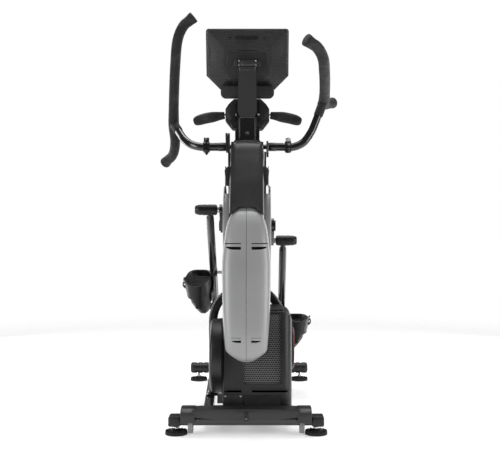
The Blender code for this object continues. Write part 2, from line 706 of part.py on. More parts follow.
def pedal(name, side):
    """An open tray with raised side walls and a toe cup, and the tread pad in it."""
    half = PEDAL_LENGTH / 2
    tray = level_block("pedal_" + name, DARK_PLASTIC, side, PEDAL_X, (-half, half), (-0.018, 0.050), 0.012)
    well_x, well_y = (PEDAL_X[0] + 0.004, PEDAL_X[1] - 0.006), (-half + 0.006, half + 0.1)
    well = level_block("pedal_well_" + name, DARK_PLASTIC, side, well_x, well_y, (-0.006, 0.10))
    heel = level_block(
        "pedal_heel_" + name, DARK_PLASTIC, side, (0.10, 0.30), (0.03, half + 0.1), (0.018, 0.10)
    )
    pad = level_block(
        "pedal_pad_" + name,
        RUBBER,
        side,
        (PEDAL_X[0] + 0.008, PEDAL_X[1] - 0.010),
        (-half + 0.014, half - 0.012),
        (-0.0056, 0.0),
    )
    for piece in (tray, well, heel, pad):
        on_pedal(piece, name)
    cut(tray, well, heel)
    return tray, pad


def rollers():
    for name, side in SIDES:
        roller = side_rod("roller_" + name, RUBBER, side, ROLLER_X, ROLLER[name], ROLLER_RADIUS)
        bevel(roller, 0.002)
        cut(roller, side_rod("roller_bore_" + name, STEEL, side, (0.07, 0.10), ROLLER[name], 0.0085))
        axle = side_rod("roller_axle_" + name, STEEL, side, (0.0765, 0.1345), ROLLER[name], 0.008)
        collar = side_rod("axle_collar_" + name, STEEL, side, (0.0942, 0.104), ROLLER[name], 0.013)
        joined(axle, collar)
        carriage = pivot("carriage_" + name, at(side * LEG_X, *ROLLER[name]))
        spin = pivot("roller_axis_" + name, at(side * ROLLER_X[0], *ROLLER[name]))
        hang(carriage, axle, spin)
        hang(spin, roller)


# ---------------------------------------------------------------- swinging handles
GRIP_PATH = [
    (0.219, 0.000, 0.535),
    (0.262, 0.002, 0.498),
    (0.288, 0.012, 0.440),
    (0.300, 0.045, 0.350),
    (0.311, 0.105, 0.232),
    (0.318, 0.164, 0.115),
    (0.317, 0.220, 0.040),
    (0.333, 0.278, -0.010),
    (0.373, 0.330, -0.0425),
]
SUPPORT_PATH = [
    (0.0785, 0.0, 0.0),
    (0.140, 0.0, 0.0),
    (0.190, 0.0, 0.0),
    (0.232, 0.016, 0.012),
    (0.262, 0.049, 0.035),
    (0.280, 0.082, 0.058),
    (0.303, 0.131, 0.092),
    (0.318, 0.164, 0.115),
]


def handle_points(path, side, pose):
    """A path of (distance from the middle, depth, height) about the swing axis, at a swing angle."""
    turn = Matrix.Rotation(math.radians(pose), 3, "X")
    return [at(0, *SWING) + turn @ Vector((side * x, y, z)) for x, y, z in path]


def handles():
    for name, side in SIDES:
        pose = HANDLE_SPREAD if side > 0 else 0.0
        bar = rounded_path(handle_points(GRIP_PATH, side, pose))
        support = rounded_path(handle_points(SUPPORT_PATH, side, pose), 1)
        core_path, sleeve_path = shortened(bar, 0.0125), shortened(bar, 0.012)
        handle = tube("handle_tube_" + name, BLACK_PAINT, support, HANDLE_TUBE_RADIUS)
        core = tube("handle_core_" + name, BLACK_PAINT, core_path, GRIP_CORE_RADIUS, resolution=2)
        rocker = rocker_plate(name, side)
        bore = side_rod("handle_bore_" + name, STEEL, side, (0.06, 0.188), SWING, AXLE_RADIUS + GAP)
        joined(handle, core, rocker, clamp_collar(name, side, pose))
        cut(handle, bore)
        sleeve_line = [bar[0], *shortened(bar, 0.009), bar[-1]]
        flare = [GRIP_END_FLARE, *[1.0] * (len(bar)), GRIP_END_FLARE]
        grip = tube("handle_grip_" + name, GRIP_FOAM, sleeve_line, GRIP_RADIUS, flare)
        sleeve = tube("grip_core_cut_" + name, GRIP_FOAM, sleeve_path, GRIP_CORE_RADIUS + GAP, resolution=2)
        stub = tube("grip_support_cut_" + name, GRIP_FOAM, support, HANDLE_TUBE_RADIUS + GAP)
        cut(grip, sleeve, stub)
        hang(pivot("swing_axis_" + name, at(side * 0.10, *SWING)), handle, grip)


def shortened(path, trim):
    """The path without its first and last few millimetres."""
    start = path[0] + (path[1] - path[0]).normalized() * trim
    end = path[-1] + (path[-2] - path[-1]).normalized() * trim
    return [start, *path[1:-1], end]


def rocker_plate(name, side):
    end = (ROCKER_DEPTH, ROCKER_Z[name])
    outline = link_outline(SWING, end, 0.026, 0.012)
    return plate("rocker_" + name, BLACK_PAINT, [outline], "X", side_x(side, ROCKER_X))


def clamp_collar(name, side, pose):
    """A split clamp around the pivot tube."""
    turn = math.radians(pose)
    outline = []
    corners = [(-0.022, -0.020), (0.022, -0.020), (0.022, 0.020)]
    corners += [(0.013, 0.036), (-0.013, 0.036), (-0.022, 0.020)]
    for u, v in corners:
        depth = SWING[0] + u * math.cos(turn) - v * math.sin(turn)
        outline.append((depth, SWING[1] + u * math.sin(turn) + v * math.cos(turn)))
    collar = plate("clamp_collar_" + name, BLACK_PAINT, [outline], "X", side_x(side, (0.155, 0.180)))
    return bevel(collar, 0.002, 1)


# ---------------------------------------------------------------- shrouds
def eased(table, z):
    """Reads a value at a height from (height, value) stations, with a smooth step between them."""
    for (low, a), (high, b) in zip(table, table[1:]):
        if z <= high:
            t = max(0.0, (z - low) / (high - low))
            return a + (b - a) * t
    return table[-1][1]


def half_section(width, front, back, corner, seam):
    """Half of a shroud's outer line in plan, from the middle of its front round to its back edge."""
    line = []
    for i in range(8):
        turn = math.radians(90 * i / 7)
        x = width * math.sin(turn) ** 0.65
        y = front + corner * (1 - math.cos(turn) ** 0.65)
        line.append((max(x, seam), y))
    line.append((width, max(back, front + corner + 0.002)))
    return line


GREY_WIDTH = [(0.268, 0.030), (0.280, 0.042), (0.298, 0.062), (0.317, 0.0765), (0.368, 0.083)]
GREY_WIDTH += [(0.437, 0.0880), (0.577, 0.0915), (0.630, 0.0920), (0.675, 0.0890), (0.722, 0.0845), (0.750, 0.0815)]
GREY_WIDTH += [(0.770, 0.0780), (0.797, 0.0710), (0.817, 0.0625), (0.850, 0.0450)]
GREY_FRONT = [(0.268, 0.004), (0.300, -0.020), (0.360, -0.030), (0.560, -0.022), (0.700, 0.005)]
GREY_FRONT += [(0.850, 0.070)]
GREY_LEVELS = [0.268, 0.280, 0.298, 0.317, 0.368, 0.4545, 0.462, 0.54, 0.6, 0.64, 0.675, 0.700]
GREY_LEVELS += [0.722, 0.750, 0.770, 0.797, 0.817, 0.835, 0.850]


def grey_back(z):
    """The rear edge of the grey shroud: it clears the housing below and follows the crank disc above."""
    if z < 0.46:
        return 0.0425
    clear = DISC_RADIUS + 0.006
    rise = abs(z - CRANK_Z)
    return 0.305 if rise >= clear else min(0.305, CRANK_DEPTH - math.sqrt(clear**2 - rise**2))


def front_shroud():
    for name, side in SIDES:
        rings = []
        for z in GREY_LEVELS:
            width, front = eased(GREY_WIDTH, z), eased(GREY_FRONT, z)
            corner = min(0.040, width * 0.5, grey_back(z) - front - 0.004)
            outer = half_section(width, front, grey_back(z), corner, 0.0006)
            wall = SHROUD_WALL
            inner = half_section(width - wall, front + wall, grey_back(z), corner - wall * 0.6, 0.0006)
            rings.append([at(side * x, y, z) for x, y in outer + inner[::-1]])
        loft("front_shroud_" + name, GREY_PLASTIC, rings)


UPPER_FRONT = [(0.853, 0.088), (0.950, 0.140), (1.060, 0.205), (1.122, 0.250)]
UPPER_WIDTH = [(0.853, 0.067), (1.080, 0.067), (1.112, 0.060), (1.122, 0.050)]
UPPER_BACK = [(0.853, 0.207), (0.945, 0.214), (1.122, 0.305)]


def upper_shroud():
    rings = []
    for z in (0.853, 0.90, 0.95, 1.00, 1.06, 1.08, 1.10, 1.112, 1.122):
        width, front, back = eased(UPPER_WIDTH, z), eased(UPPER_FRONT, z), eased(UPPER_BACK, z)
        corner = min(0.034, back - front - 0.004)
        outer = half_section(width, front, back, corner, 0.0)
        inner = half_section(width - SHROUD_WALL, front + SHROUD_WALL, back, corner - SHROUD_WALL * 0.6, 0.0)
        right = [at(x, y, z) for x, y in outer]
        left = [at(-x, y, z) for x, y in reversed(outer[1:])]
        right_in = [at(x, y, z) for x, y in reversed(inner[1:])]
        left_in = [at(-x, y, z) for x, y in inner]
        rings.append(left + right + right_in + left_in)
    shroud = loft("upper_shroud", CHARCOAL_PLASTIC, rings)
    for name, side in SIDES:
        height = (0.948, 1.016)
        guard = side_block("rod_guard_" + name, DARK_PLASTIC, side, (0.0890, 0.0940), (0.196, 0.400), height)
        flange = side_block("guard_flange_" + name, DARK_PLASTIC, side, (0.0655, 0.0940), (0.190, 0.1965), height)
        joined(shroud, guard, flange)
    return shroud


def rear_outline(inset):
    """The rear shroud from the side: it follows the crank disc and narrows up to the handle axle."""
    around = arc(CRANK, 0.162 - inset, -45, 62, 12)
    if inset:
        top = [(0.434 - inset, 1.02), (0.426 - inset, 1.122 - inset), (0.150, 1.122 - inset)]
        return [(0.150, 0.500), (0.477, 0.500), *around, *top]
    top = [(0.434, 1.02), (0.426, 1.122), (0.308, 1.122), (0.2175, 0.946), (0.211, 0.860), (0.211, 0.640)]
    return [*around, *top, (0.300, 0.622)]


def rear_shroud():
    half = UPPER_HALF_WIDTH - 0.001
    shell = bevel(plate("rear_shroud", DARK_PLASTIC, [rear_outline(0.0)], "X", (-half, half)), 0.003, 1)
    inner_half = half - 0.0035
    inside = plate("rear_inside", DARK_PLASTIC, [rear_outline(0.0035)], "X", (-inner_half, inner_half))
    bore = rod("rear_shaft_hole", DARK_PLASTIC, at(-0.1, *CRANK), at(0.1, *CRANK), 0.018)
    axle = rod("rear_axle_hole", DARK_PLASTIC, at(-0.1, *SWING), at(0.1, *SWING), 0.012)
    width = SPINE_HALF_WIDTH + 0.001
    post = block("rear_post_hole", DARK_PLASTIC, at(-width, 0.351, 1.0), at(width, 0.413, 1.2))
    return cut(shell, inside, bore, axle, post)


# ---------------------------------------------------------------- console
def on_console(obj):
    """Moves a piece that was modelled upright about the hinge to the hinge, leaning forwards."""
    lean = Matrix.Rotation(math.radians(CONSOLE_LEAN), 4, "X")
    obj.matrix_world = Matrix.Translation(at(0, HINGE_DEPTH, HINGE_Z)) @ lean @ obj.matrix_world
    return obj


def console_slab(name, look, outline, span):
    """A slab modelled upright: (x, z) points about the hinge, and its span behind the hinge."""
    shifted = (span[0] + FRONT_FEET_TO_ORIGIN, span[1] + FRONT_FEET_TO_ORIGIN)
    return on_console(plate(name, look, [outline], "Y", shifted))


def console_outline(inset):
    wide, low, high = CONSOLE_HALF_WIDTH - inset, -0.116 + inset, 0.142 - inset
    right = [(0.112, low), (wide, low + 0.062), (wide, high - 0.012), (wide - 0.012, high)]
    return right + [(-x, z) for x, z in reversed(right)]


def console():
    hinge = pivot("console_axis", at(0, HINGE_DEPTH, HINGE_Z))
    back = bevel(console_slab("console_back", DARK_PLASTIC, console_outline(0.0), (0.0215, 0.052)), 0.010, 2)
    for i, x in enumerate((-0.0485, 0.0485)):
        lug = block(f"lug_{i}", DARK_PLASTIC, (x - 0.0075, -0.010, -0.011), (x + 0.0075, 0.026, 0.011))
        lug.matrix_world = Matrix.Translation(lug.location)
        joined(back, on_console(lug))
    bore = rod("lug_bore", STEEL, at(-0.07, HINGE_DEPTH, HINGE_Z), at(0.07, HINGE_DEPTH, HINGE_Z), 0.0054)
    cut(back, bore)
    face = console_slab("console_face", CHARCOAL_PLASTIC, console_outline(0.003), (0.0525, 0.066))
    bevel(face, 0.004)
    window = [(-0.120, -0.050), (0.120, -0.050), (0.120, 0.105), (-0.120, 0.105)]
    cut(face, console_slab("screen_recess", SCREEN_GLASS, window, (0.0625, 0.09)))
    pane = [(x * 0.995, z * 0.995) for x, z in window]
    screen = console_slab("console_screen", SCREEN_GLASS, pane, (0.0629, 0.0655))
    shelf = [(-0.111, -0.141), (0.111, -0.141), (0.111, -0.1195), (-0.111, -0.1195)]
    tray = console_slab("media_tray", DARK_PLASTIC, shelf, (0.010, 0.085))
    channel = [(-0.104, -0.133), (0.104, -0.133), (0.104, 0.0), (-0.104, 0.0)]
    groove = console_slab("tray_groove", DARK_PLASTIC, channel, (0.058, 0.078))
    cut(bevel(tray, 0.004, 1), groove)
    hang(hinge, back, face, screen, tray)


base()
feet()
transport_wheels()
main_frame()
arch_brace()
roller_rails()
mast()
fan_housing()
drive()
connecting_rods()
legs()
rollers()
handles()
front_shroud()
upper_shroud()
rear_shroud()
console()
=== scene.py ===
"""The finished look of an elliptical trainer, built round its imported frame.

Metres, +Z up, the machine's front towards -Y. "Left" is -X. Depths are distances behind the
front feet, and at() turns them into the frame's Y.
"""

import json
import math

import bpy
from mathutils import Matrix, Vector


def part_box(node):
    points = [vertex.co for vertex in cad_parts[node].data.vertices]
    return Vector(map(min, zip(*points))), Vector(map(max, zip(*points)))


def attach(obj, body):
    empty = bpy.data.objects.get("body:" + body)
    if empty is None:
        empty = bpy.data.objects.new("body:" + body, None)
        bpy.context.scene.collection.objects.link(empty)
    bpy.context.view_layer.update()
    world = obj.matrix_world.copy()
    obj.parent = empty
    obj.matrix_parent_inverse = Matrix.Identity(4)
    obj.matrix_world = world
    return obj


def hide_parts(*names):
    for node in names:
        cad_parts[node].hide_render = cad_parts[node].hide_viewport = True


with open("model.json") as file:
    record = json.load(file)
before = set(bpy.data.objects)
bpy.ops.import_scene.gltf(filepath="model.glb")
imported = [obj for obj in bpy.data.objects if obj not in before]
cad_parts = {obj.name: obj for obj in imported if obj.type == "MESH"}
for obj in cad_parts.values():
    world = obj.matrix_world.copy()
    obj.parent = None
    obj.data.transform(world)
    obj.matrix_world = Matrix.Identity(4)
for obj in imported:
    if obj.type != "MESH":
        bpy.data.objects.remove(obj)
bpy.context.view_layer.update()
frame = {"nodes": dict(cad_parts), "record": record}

SIDES = (("left", -1), ("right", 1))
JOINTS = {joint["name"]: joint for joint in frame["record"]["behaviour"]["joints"]}
FRONT_FEET = (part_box("leveling_foot_front_left")[0][1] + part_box("leveling_foot_front_left")[1][1]) / 2


def at(x, depth, z):
    """A point given by its distance behind the front feet."""
    return Vector((x, depth + FRONT_FEET, z))


def joint_spot(name):
    """(depth, z) of a joint's axis."""
    _, y, z = JOINTS[name]["pos_m"]
    return y - FRONT_FEET, z


CRANK = joint_spot("crank_spin")
FAN = joint_spot("fan_spin")
SWING = joint_spot("left_handle_swing")
HINGE = joint_spot("console_tilt")
PIN = {name: joint_spot(name + "_leg_pivot") for name, _ in SIDES}
ROLLER = {name: joint_spot(name + "_roller_spin") for name, _ in SIDES}
LEG_SLOPE = {"left": 39.5, "right": 50.0}
PEDAL_TILT = {"left": 13.5, "right": 4.5}
HANDLE_POSE = {"left": 0.0, "right": 48.0}
CONSOLE_LEAN = 15.0
AMBIENT = 0.13
PEDAL_DROP = 0.52
LEG_LENGTH = 0.7


# ---------------------------------------------------------------- camera, lights, floor
def camera():
    """Looks level at the machine's front from a little to its right."""
    lens = bpy.data.cameras.new("view")
    lens.lens = 63.4
    lens.sensor_width = 36.0
    lens.shift_x = -0.015
    lens.shift_y = 0.002
    view = bpy.data.objects.new("view", lens)
    view.location = at(0.042, -3.29, 0.777)
    view.rotation_euler = (math.radians(90), 0, 0)
    bpy.context.scene.collection.objects.link(view)
    bpy.context.scene.camera = view


def softbox(name, spot, aim, width, height, power):
    lamp = bpy.data.lights.new(name, "AREA")
    lamp.shape = "RECTANGLE"
    lamp.size = width
    lamp.size_y = height
    lamp.energy = power
    box = bpy.data.objects.new(name, lamp)
    box.location = spot
    box.rotation_euler = (Vector(aim) - Vector(spot)).to_track_quat("-Z", "Y").to_euler()
    bpy.context.scene.collection.objects.link(box)


def studio():
    """Soft light from above and both sides, over a pale floor that fades into a white surround."""
    world = bpy.data.worlds.new("studio")
    world.use_nodes = True
    nodes, links = world.node_tree.nodes, world.node_tree.links
    surround = nodes["Background"]
    surround.inputs["Color"].default_value = (1.0, 1.0, 1.0, 1.0)
    surround.inputs["Strength"].default_value = 1.0
    fill = nodes.new("ShaderNodeBackground")
    fill.inputs["Color"].default_value = (1.0, 1.0, 1.0, 1.0)
    fill.inputs["Strength"].default_value = AMBIENT
    seen = nodes.new("ShaderNodeLightPath")
    either = nodes.new("ShaderNodeMixShader")
    links.new(seen.outputs["Is Camera Ray"], either.inputs[0])
    links.new(fill.outputs[0], either.inputs[1])
    links.new(surround.outputs[0], either.inputs[2])
    links.new(either.outputs[0], nodes["World Output"].inputs["Surface"])
    bpy.context.scene.world = world
    bpy.context.scene.view_settings.view_transform = "Standard"
    softbox("overhead", (0.0, 0.35, 3.4), (0, 0, 0), 2.2, 2.2, 75)
    softbox("left_panel", (-2.3, -2.0, 1.1), (0, -0.2, 0.8), 1.1, 2.4, 46)
    softbox("right_panel", (2.4, -1.7, 1.1), (0, -0.2, 0.8), 1.1, 2.4, 46)
    for name, side in SIDES:
        softbox("rim_" + name, (side * 2.1, 1.7, 1.1), (0, 0, 0.8), 1.3, 2.6, 42)
    bpy.ops.mesh.primitive_plane_add(size=9, location=(0, 0, -0.0005))
    floor = bpy.context.object
    floor.name = "studio_floor"
    paper = Look("pale_paper", (0.93, 0.93, 0.93), 0.9, emission_strength=0.38)
    paper.shader.inputs["Emission Color"].default_value = (1.0, 1.0, 1.0, 1.0)
    away = paper.node("ShaderNodeVectorMath", {"operation": "LENGTH"}, (paper.place(),), "Value")
    faded = away.step(1.4, 4.0)
    clear = paper.tree.nodes.new("ShaderNodeBsdfTransparent")
    mixed = paper.tree.nodes.new("ShaderNodeMixShader")
    paper.tree.links.new(faded.socket, mixed.inputs[0])
    paper.tree.links.new(paper.shader.outputs[0], mixed.inputs[1])
    paper.tree.links.new(clear.outputs[0], mixed.inputs[2])
    paper.tree.links.new(mixed.outputs[0], paper.tree.nodes["Material Output"].inputs["Surface"])
    floor.data.materials.append(paper.material)


# ---------------------------------------------------------------- shader maths
class Value:
    """A number that varies over a surface. An expression on values adds its Math nodes."""

    def __init__(self, look, socket):
        self.look = look
        self.socket = socket

    def calc(self, operation, *others):
        return self.look.node("ShaderNodeMath", {"operation": operation}, (self, *others))

    def __add__(self, other):
        return self.calc("ADD", other)

    def __sub__(self, other):
        return self.calc("SUBTRACT", other)

    def __rsub__(self, other):
        return self.look.node("ShaderNodeMath", {"operation": "SUBTRACT"}, (other, self))

    def __mul__(self, other):
        return self.calc("MULTIPLY", other)

    def __truediv__(self, other):
        return self.calc("DIVIDE", other)

    __radd__ = __add__
    __rmul__ = __mul__

    def step(self, low, high):
        """0 below low, 1 above high, and a smooth rise between."""
        settings = {"interpolation_type": "SMOOTHSTEP"}
        return self.look.node("ShaderNodeMapRange", settings, (self, low, high, 0.0, 1.0))


class Look:
    """A material with a Principled shader, and the methods that add detail to it."""

    def __init__(self, name, colour, roughness, metallic=0.0, **fixed):
        self.material = bpy.data.materials.new(name)
        self.material.use_nodes = True
        self.tree = self.material.node_tree
        self.shader = self.tree.nodes["Principled BSDF"]
        self.shader.inputs["Base Color"].default_value = (*colour, 1.0)
        self.shader.inputs["Roughness"].default_value = roughness
        self.shader.inputs["Metallic"].default_value = metallic
        for socket, number in fixed.items():
            self.shader.inputs[socket.replace("_", " ").title()].default_value = number

    def node(self, kind, settings, values, output=0):
        made = self.tree.nodes.new(kind)
        for key, setting in settings.items():
            setattr(made, key, setting)
        sockets = values.items() if isinstance(values, dict) else enumerate(values)
        for key, value in sockets:
            if isinstance(value, Value):
                self.tree.links.new(value.socket, made.inputs[key])
            else:
                made.inputs[key].default_value = value
        return Value(self, made.outputs[output])

    def place(self, stretch=(1, 1, 1)):
        """Object coordinates, stretched along the axes."""
        spot = self.node("ShaderNodeTexCoord", {}, {}, "Object")
        return self.node("ShaderNodeMapping", {}, {"Vector": spot, "Scale": stretch})

    def axis(self, name):
        return self.node("ShaderNodeSeparateXYZ", {}, {"Vector": self.place()}, name)

    def upward(self):
        """1 where the surface faces up, 0 where it is upright or faces down."""
        normal = self.node("ShaderNodeNewGeometry", {}, {}, "Normal")
        return self.node("ShaderNodeSeparateXYZ", {}, {"Vector": normal}, "Z").step(0.55, 0.98)

    def noise(self, scale, detail=2.0, stretch=(1, 1, 1)):
        values = {"Vector": self.place(stretch), "Scale": scale, "Detail": detail}
        return self.node("ShaderNodeTexNoise", {}, values, "Fac")

    def cells(self, scale, feature="F1", stretch=(1, 1, 1)):
        values = {"Vector": self.place(stretch), "Scale": scale}
        return self.node("ShaderNodeTexVoronoi", {"feature": feature}, values, "Distance")

    def blend(self, low, high, factor):
        """A colour between two, either of which may be a value."""
        mix = self.tree.nodes.new("ShaderNodeMix")
        mix.data_type = "RGBA"
        self.tree.links.new(factor.socket, mix.inputs[0])
        for slot, colour in ((6, low), (7, high)):
            if isinstance(colour, Value):
                self.tree.links.new(colour.socket, mix.inputs[slot])
            else:
                mix.inputs[slot].default_value = (*colour, 1.0)
        return Value(self, mix.outputs[2])

    def feed(self, socket, value):
        self.tree.links.new(value.socket, self.shader.inputs[socket])

    def raise_by(self, height, distance, strength=1.0):
        """Bumps the surface by a height between 0 and 1, times a distance in metres."""
        values = {"Height": height, "Distance": distance, "Strength": strength}
        self.feed("Normal", self.node("ShaderNodeBump", {}, values, "Normal"))


def enamel(name, colour):
    """Gloss paint with a little orange peel, faint dust on top faces and uneven polish."""
    look = Look(name, colour, 0.2, coat_weight=0.35, coat_roughness=0.06)
    dust = look.upward() * look.noise(60, 5).step(0.35, 0.75) * 0.35
    pale = tuple(c + 0.1 for c in colour)
    look.feed("Base Color", look.blend(colour, pale, dust * 0.35))
    look.feed("Roughness", look.noise(9, 4).step(0.3, 0.7) * 0.08 + dust * 0.5 + 0.16)
    look.raise_by(look.noise(420, 2), 0.00006, 0.5)
    return look.material


def moulded(name, colour, roughness, grain, depth):
    """Injection-moulded plastic with a fine spark-eroded grain."""
    look = Look(name, colour, roughness)
    look.shader.inputs["Specular IOR Level"].default_value = 0.38
    cloud = look.noise(7, 4).step(0.3, 0.7)
    dust = look.upward() * look.noise(85, 5).step(0.4, 0.8)
    lighter = tuple(min(1.0, c * 1.25 + 0.004) for c in colour)
    dusty = tuple(c + 0.012 for c in colour)
    look.feed("Base Color", look.blend(look.blend(colour, lighter, cloud), dusty, dust * 0.25))
    speckle = look.cells(grain)
    look.feed("Roughness", cloud * 0.06 + speckle * 0.1 + (roughness - 0.06))
    look.raise_by(speckle + look.noise(grain * 1.7, 2) * 0.6, depth, 0.6)
    return look.material


def silver_lacquer():
    """Satin grey paint with a metallic flake under it."""
    look = Look("silver_lacquer", (0.26, 0.26, 0.265), 0.4, 0.2, coat_weight=0.1, coat_roughness=0.3)
    flake = look.cells(2600).step(0.25, 0.55)
    cloud = look.noise(5, 3).step(0.3, 0.7)
    base = look.blend((0.262, 0.263, 0.266), (0.302, 0.303, 0.307), cloud)
    look.feed("Base Color", look.blend(base, (0.35, 0.35, 0.355), flake * 0.35))
    look.feed("Roughness", flake * 0.07 + cloud * 0.04 + 0.36)
    look.raise_by(look.noise(500, 2), 0.00005, 0.4)
    return look.material


def foam():
    """Closed-cell grip foam: matte, finely pored and a little worn."""
    look = Look("grip_foam", (0.012, 0.012, 0.013), 0.8, sheen_weight=0.06)
    look.shader.inputs["Specular IOR Level"].default_value = 0.35
    pores = look.cells(1400)
    wear = look.noise(22, 5).step(0.45, 0.75)
    look.feed("Base Color", look.blend((0.009, 0.009, 0.01), (0.022, 0.022, 0.023), wear * 0.7 + pores * 0.3))
    look.feed("Roughness", wear * -0.14 + 0.76)
    look.raise_by(pores * 0.7 + look.noise(240, 4) * 0.6, 0.00035, 0.7)
    return look.material


def rubber():
    look = Look("moulded_rubber", (0.01, 0.01, 0.011), 0.72)
    look.shader.inputs["Specular IOR Level"].default_value = 0.35
    dust = look.noise(55, 6).step(0.45, 0.8)
    look.feed("Base Color", look.blend((0.008, 0.008, 0.009), (0.03, 0.029, 0.028), dust * 0.5))
    look.feed("Roughness", dust * 0.12 + 0.74)
    look.raise_by(look.noise(700, 3), 0.0002, 0.5)
    return look.material


def steel(name, colour, roughness, stretch):
    """Bare metal with fine grinding marks along one direction."""
    look = Look(name, colour, roughness, 1.0)
    marks = look.noise(260, 3, stretch)
    stain = look.noise(14, 4).step(0.4, 0.8)
    darker = tuple(c * 0.78 for c in colour)
    look.feed("Base Color", look.blend(colour, darker, stain * 0.4 + marks * 0.2))
    look.feed("Roughness", marks * 0.12 + stain * 0.08 + (roughness - 0.06))
    look.raise_by(marks, 0.00005, 0.35)
    return look.material


def cast_metal():
    look = Look("cast_metal", (0.19, 0.19, 0.2), 0.52, 0.85)
    rough = look.noise(180, 5)
    look.feed("Base Color", look.blend((0.13, 0.13, 0.14), (0.24, 0.24, 0.25), rough))
    look.feed("Roughness", rough * 0.25 + 0.4)
    look.raise_by(rough, 0.0004, 0.6)
    return look.material


def screen_glass():
    look = Look("screen_glass", (0.006, 0.006, 0.008), 0.05, coat_weight=0.6)
    smear = look.noise(18, 6, (1, 1, 0.4)).step(0.5, 0.8)
    look.feed("Base Color", look.blend((0.005, 0.005, 0.007), (0.02, 0.02, 0.024), smear))
    look.feed("Roughness", smear * 0.18 + 0.04)
    return look.material


def red_trim():
    look = Look("red_trim", (0.23, 0.03, 0.025), 0.4)
    cloud = look.noise(90, 3)
    look.feed("Base Color", look.blend((0.17, 0.02, 0.02), (0.27, 0.04, 0.035), cloud))
    look.feed("Roughness", cloud * 0.2 + 0.32)
    return look.material


def drilled_plastic():
    """Console plastic with a close pattern of small round dimples in staggered rows, their insides painted
    near-black as painted shade.
    """
    look = Look("drilled_plastic", (0.014, 0.014, 0.015), 0.36)
    pitch = 0.008
    column = look.axis("X") / pitch
    row = look.axis("Z") / (pitch * 0.866)
    shift = row.calc("FLOOR").calc("PINGPONG", 1.0) * 0.5
    across = (column + shift).calc("FRACT") - 0.5
    along = row.calc("FRACT") - 0.5
    hole = 1 - (across * across + along * along).calc("SQRT").step(0.24, 0.34)
    cloud = look.noise(9, 4).step(0.3, 0.7)
    base = look.blend((0.026, 0.026, 0.027), (0.036, 0.036, 0.037), cloud)
    # Each dimple is filled with near-black: painted shade inside it.
    look.feed("Base Color", look.blend(base, (0.001, 0.001, 0.001), hole * 0.95))
    look.feed("Roughness", hole * 0.3 + 0.32)
    look.raise_by(1 - hole, 0.0012, 1.0)
    return look.material


ENAMEL = enamel("black_enamel", (0.006, 0.006, 0.007))
PLASTIC = moulded("dark_moulding", (0.008, 0.008, 0.009), 0.34, 1100, 0.0002)
SATIN = moulded("charcoal_moulding", (0.019, 0.019, 0.02), 0.3, 1500, 0.0001)
SILVER = silver_lacquer()
FOAM = foam()
RUBBER = rubber()
STEEL = steel("ground_steel", (0.58, 0.58, 0.6), 0.3, (1, 12, 12))
CHROME = steel("bright_steel", (0.74, 0.74, 0.76), 0.14, (4, 4, 1))
CAST = cast_metal()
GLASS = screen_glass()
RED = red_trim()
DRILLED = drilled_plastic()
TREAD = moulded("wheel_tread", (0.2, 0.2, 0.205), 0.5, 900, 0.0003)
BAR_PAINT = enamel("bar_paint", (0.034, 0.034, 0.035))
DARK_STEEL = steel("blackened_steel", (0.03, 0.03, 0.032), 0.35, (1, 8, 8))
GUNMETAL = steel("gun_metal", (0.17, 0.17, 0.18), 0.3, (1, 8, 8))
# The grille's pale grey is a painted highlight on its webs.
MESH = moulded("mesh_moulding", (0.105, 0.105, 0.107), 0.3, 1500, 0.0001)

SLOT_LOOKS = {
    "black_paint": ENAMEL,
    "dark_plastic": PLASTIC,
    "charcoal_plastic": SATIN,
    "grey_plastic": SILVER,
    "grip_foam": FOAM,
    "rubber": RUBBER,
    "steel": STEEL,
    "cast_metal": CAST,
    "screen_glass": GLASS,
}
SLOT_OF = {id(look): slot for slot, look in SLOT_LOOKS.items()}


def dress_frame():
    """Gives every CAD node the finish of its material slot."""
    for entry in frame["record"]["subparts"]:
        node = frame["nodes"][entry["node"]]
        node.data.materials.clear()
        node.data.materials.append(SLOT_LOOKS[entry["material_slot"]])
    for name, _ in SIDES:
        frame["nodes"]["connecting_rod_" + name].data.materials[0] = DARK_STEEL


# ---------------------------------------------------------------- modelling helpers
def only(obj):
    """Selects this object alone and makes it active."""
    bpy.ops.object.select_all(action="DESELECT")
    obj.select_set(True)
    bpy.context.view_layer.objects.active = obj


def named(name):
    """Names the object just added and moves its place into its mesh."""
    obj = bpy.context.object
    obj.name = name
    only(obj)
    bpy.ops.object.transform_apply(location=True, rotation=True, scale=True)
    return obj


def apply(obj, kind, **settings):
    only(obj)
    step = obj.modifiers.new(kind, kind)
    for key, value in settings.items():
        setattr(step, key, value)
    bpy.ops.object.modifier_apply(modifier=step.name)
    return obj


def rounded(obj, width, segments=3, angle=35):
    return apply(
        obj, "BEVEL", width=width, segments=segments, limit_method="ANGLE", angle_limit=math.radians(angle)
    )


def block(name, low, high):
    bpy.ops.object.select_all(action="DESELECT")
    low, high = Vector(low), Vector(high)
    bpy.ops.mesh.primitive_cube_add(size=1.0, location=(low + high) / 2, scale=high - low)
    return named(name)


def bar(name, start, end, radius, end_radius=None, sides=48):
    """A round bar or cone between two points."""
    bpy.ops.object.select_all(action="DESELECT")
    run = Vector(end) - Vector(start)
    turn = Vector((0, 0, 1)).rotation_difference(run).to_euler()
    bpy.ops.mesh.primitive_cone_add(
        vertices=sides,
        radius1=radius,
        radius2=radius if end_radius is None else end_radius,
        depth=run.length,
        location=(Vector(start) + Vector(end)) / 2,
        rotation=turn,
    )
    return named(name)


def ball(name, centre, size, segments=32):
    bpy.ops.object.select_all(action="DESELECT")
    bpy.ops.mesh.primitive_uv_sphere_add(
        segments=segments, ring_count=segments // 2, location=centre, scale=size
    )
    return named(name)


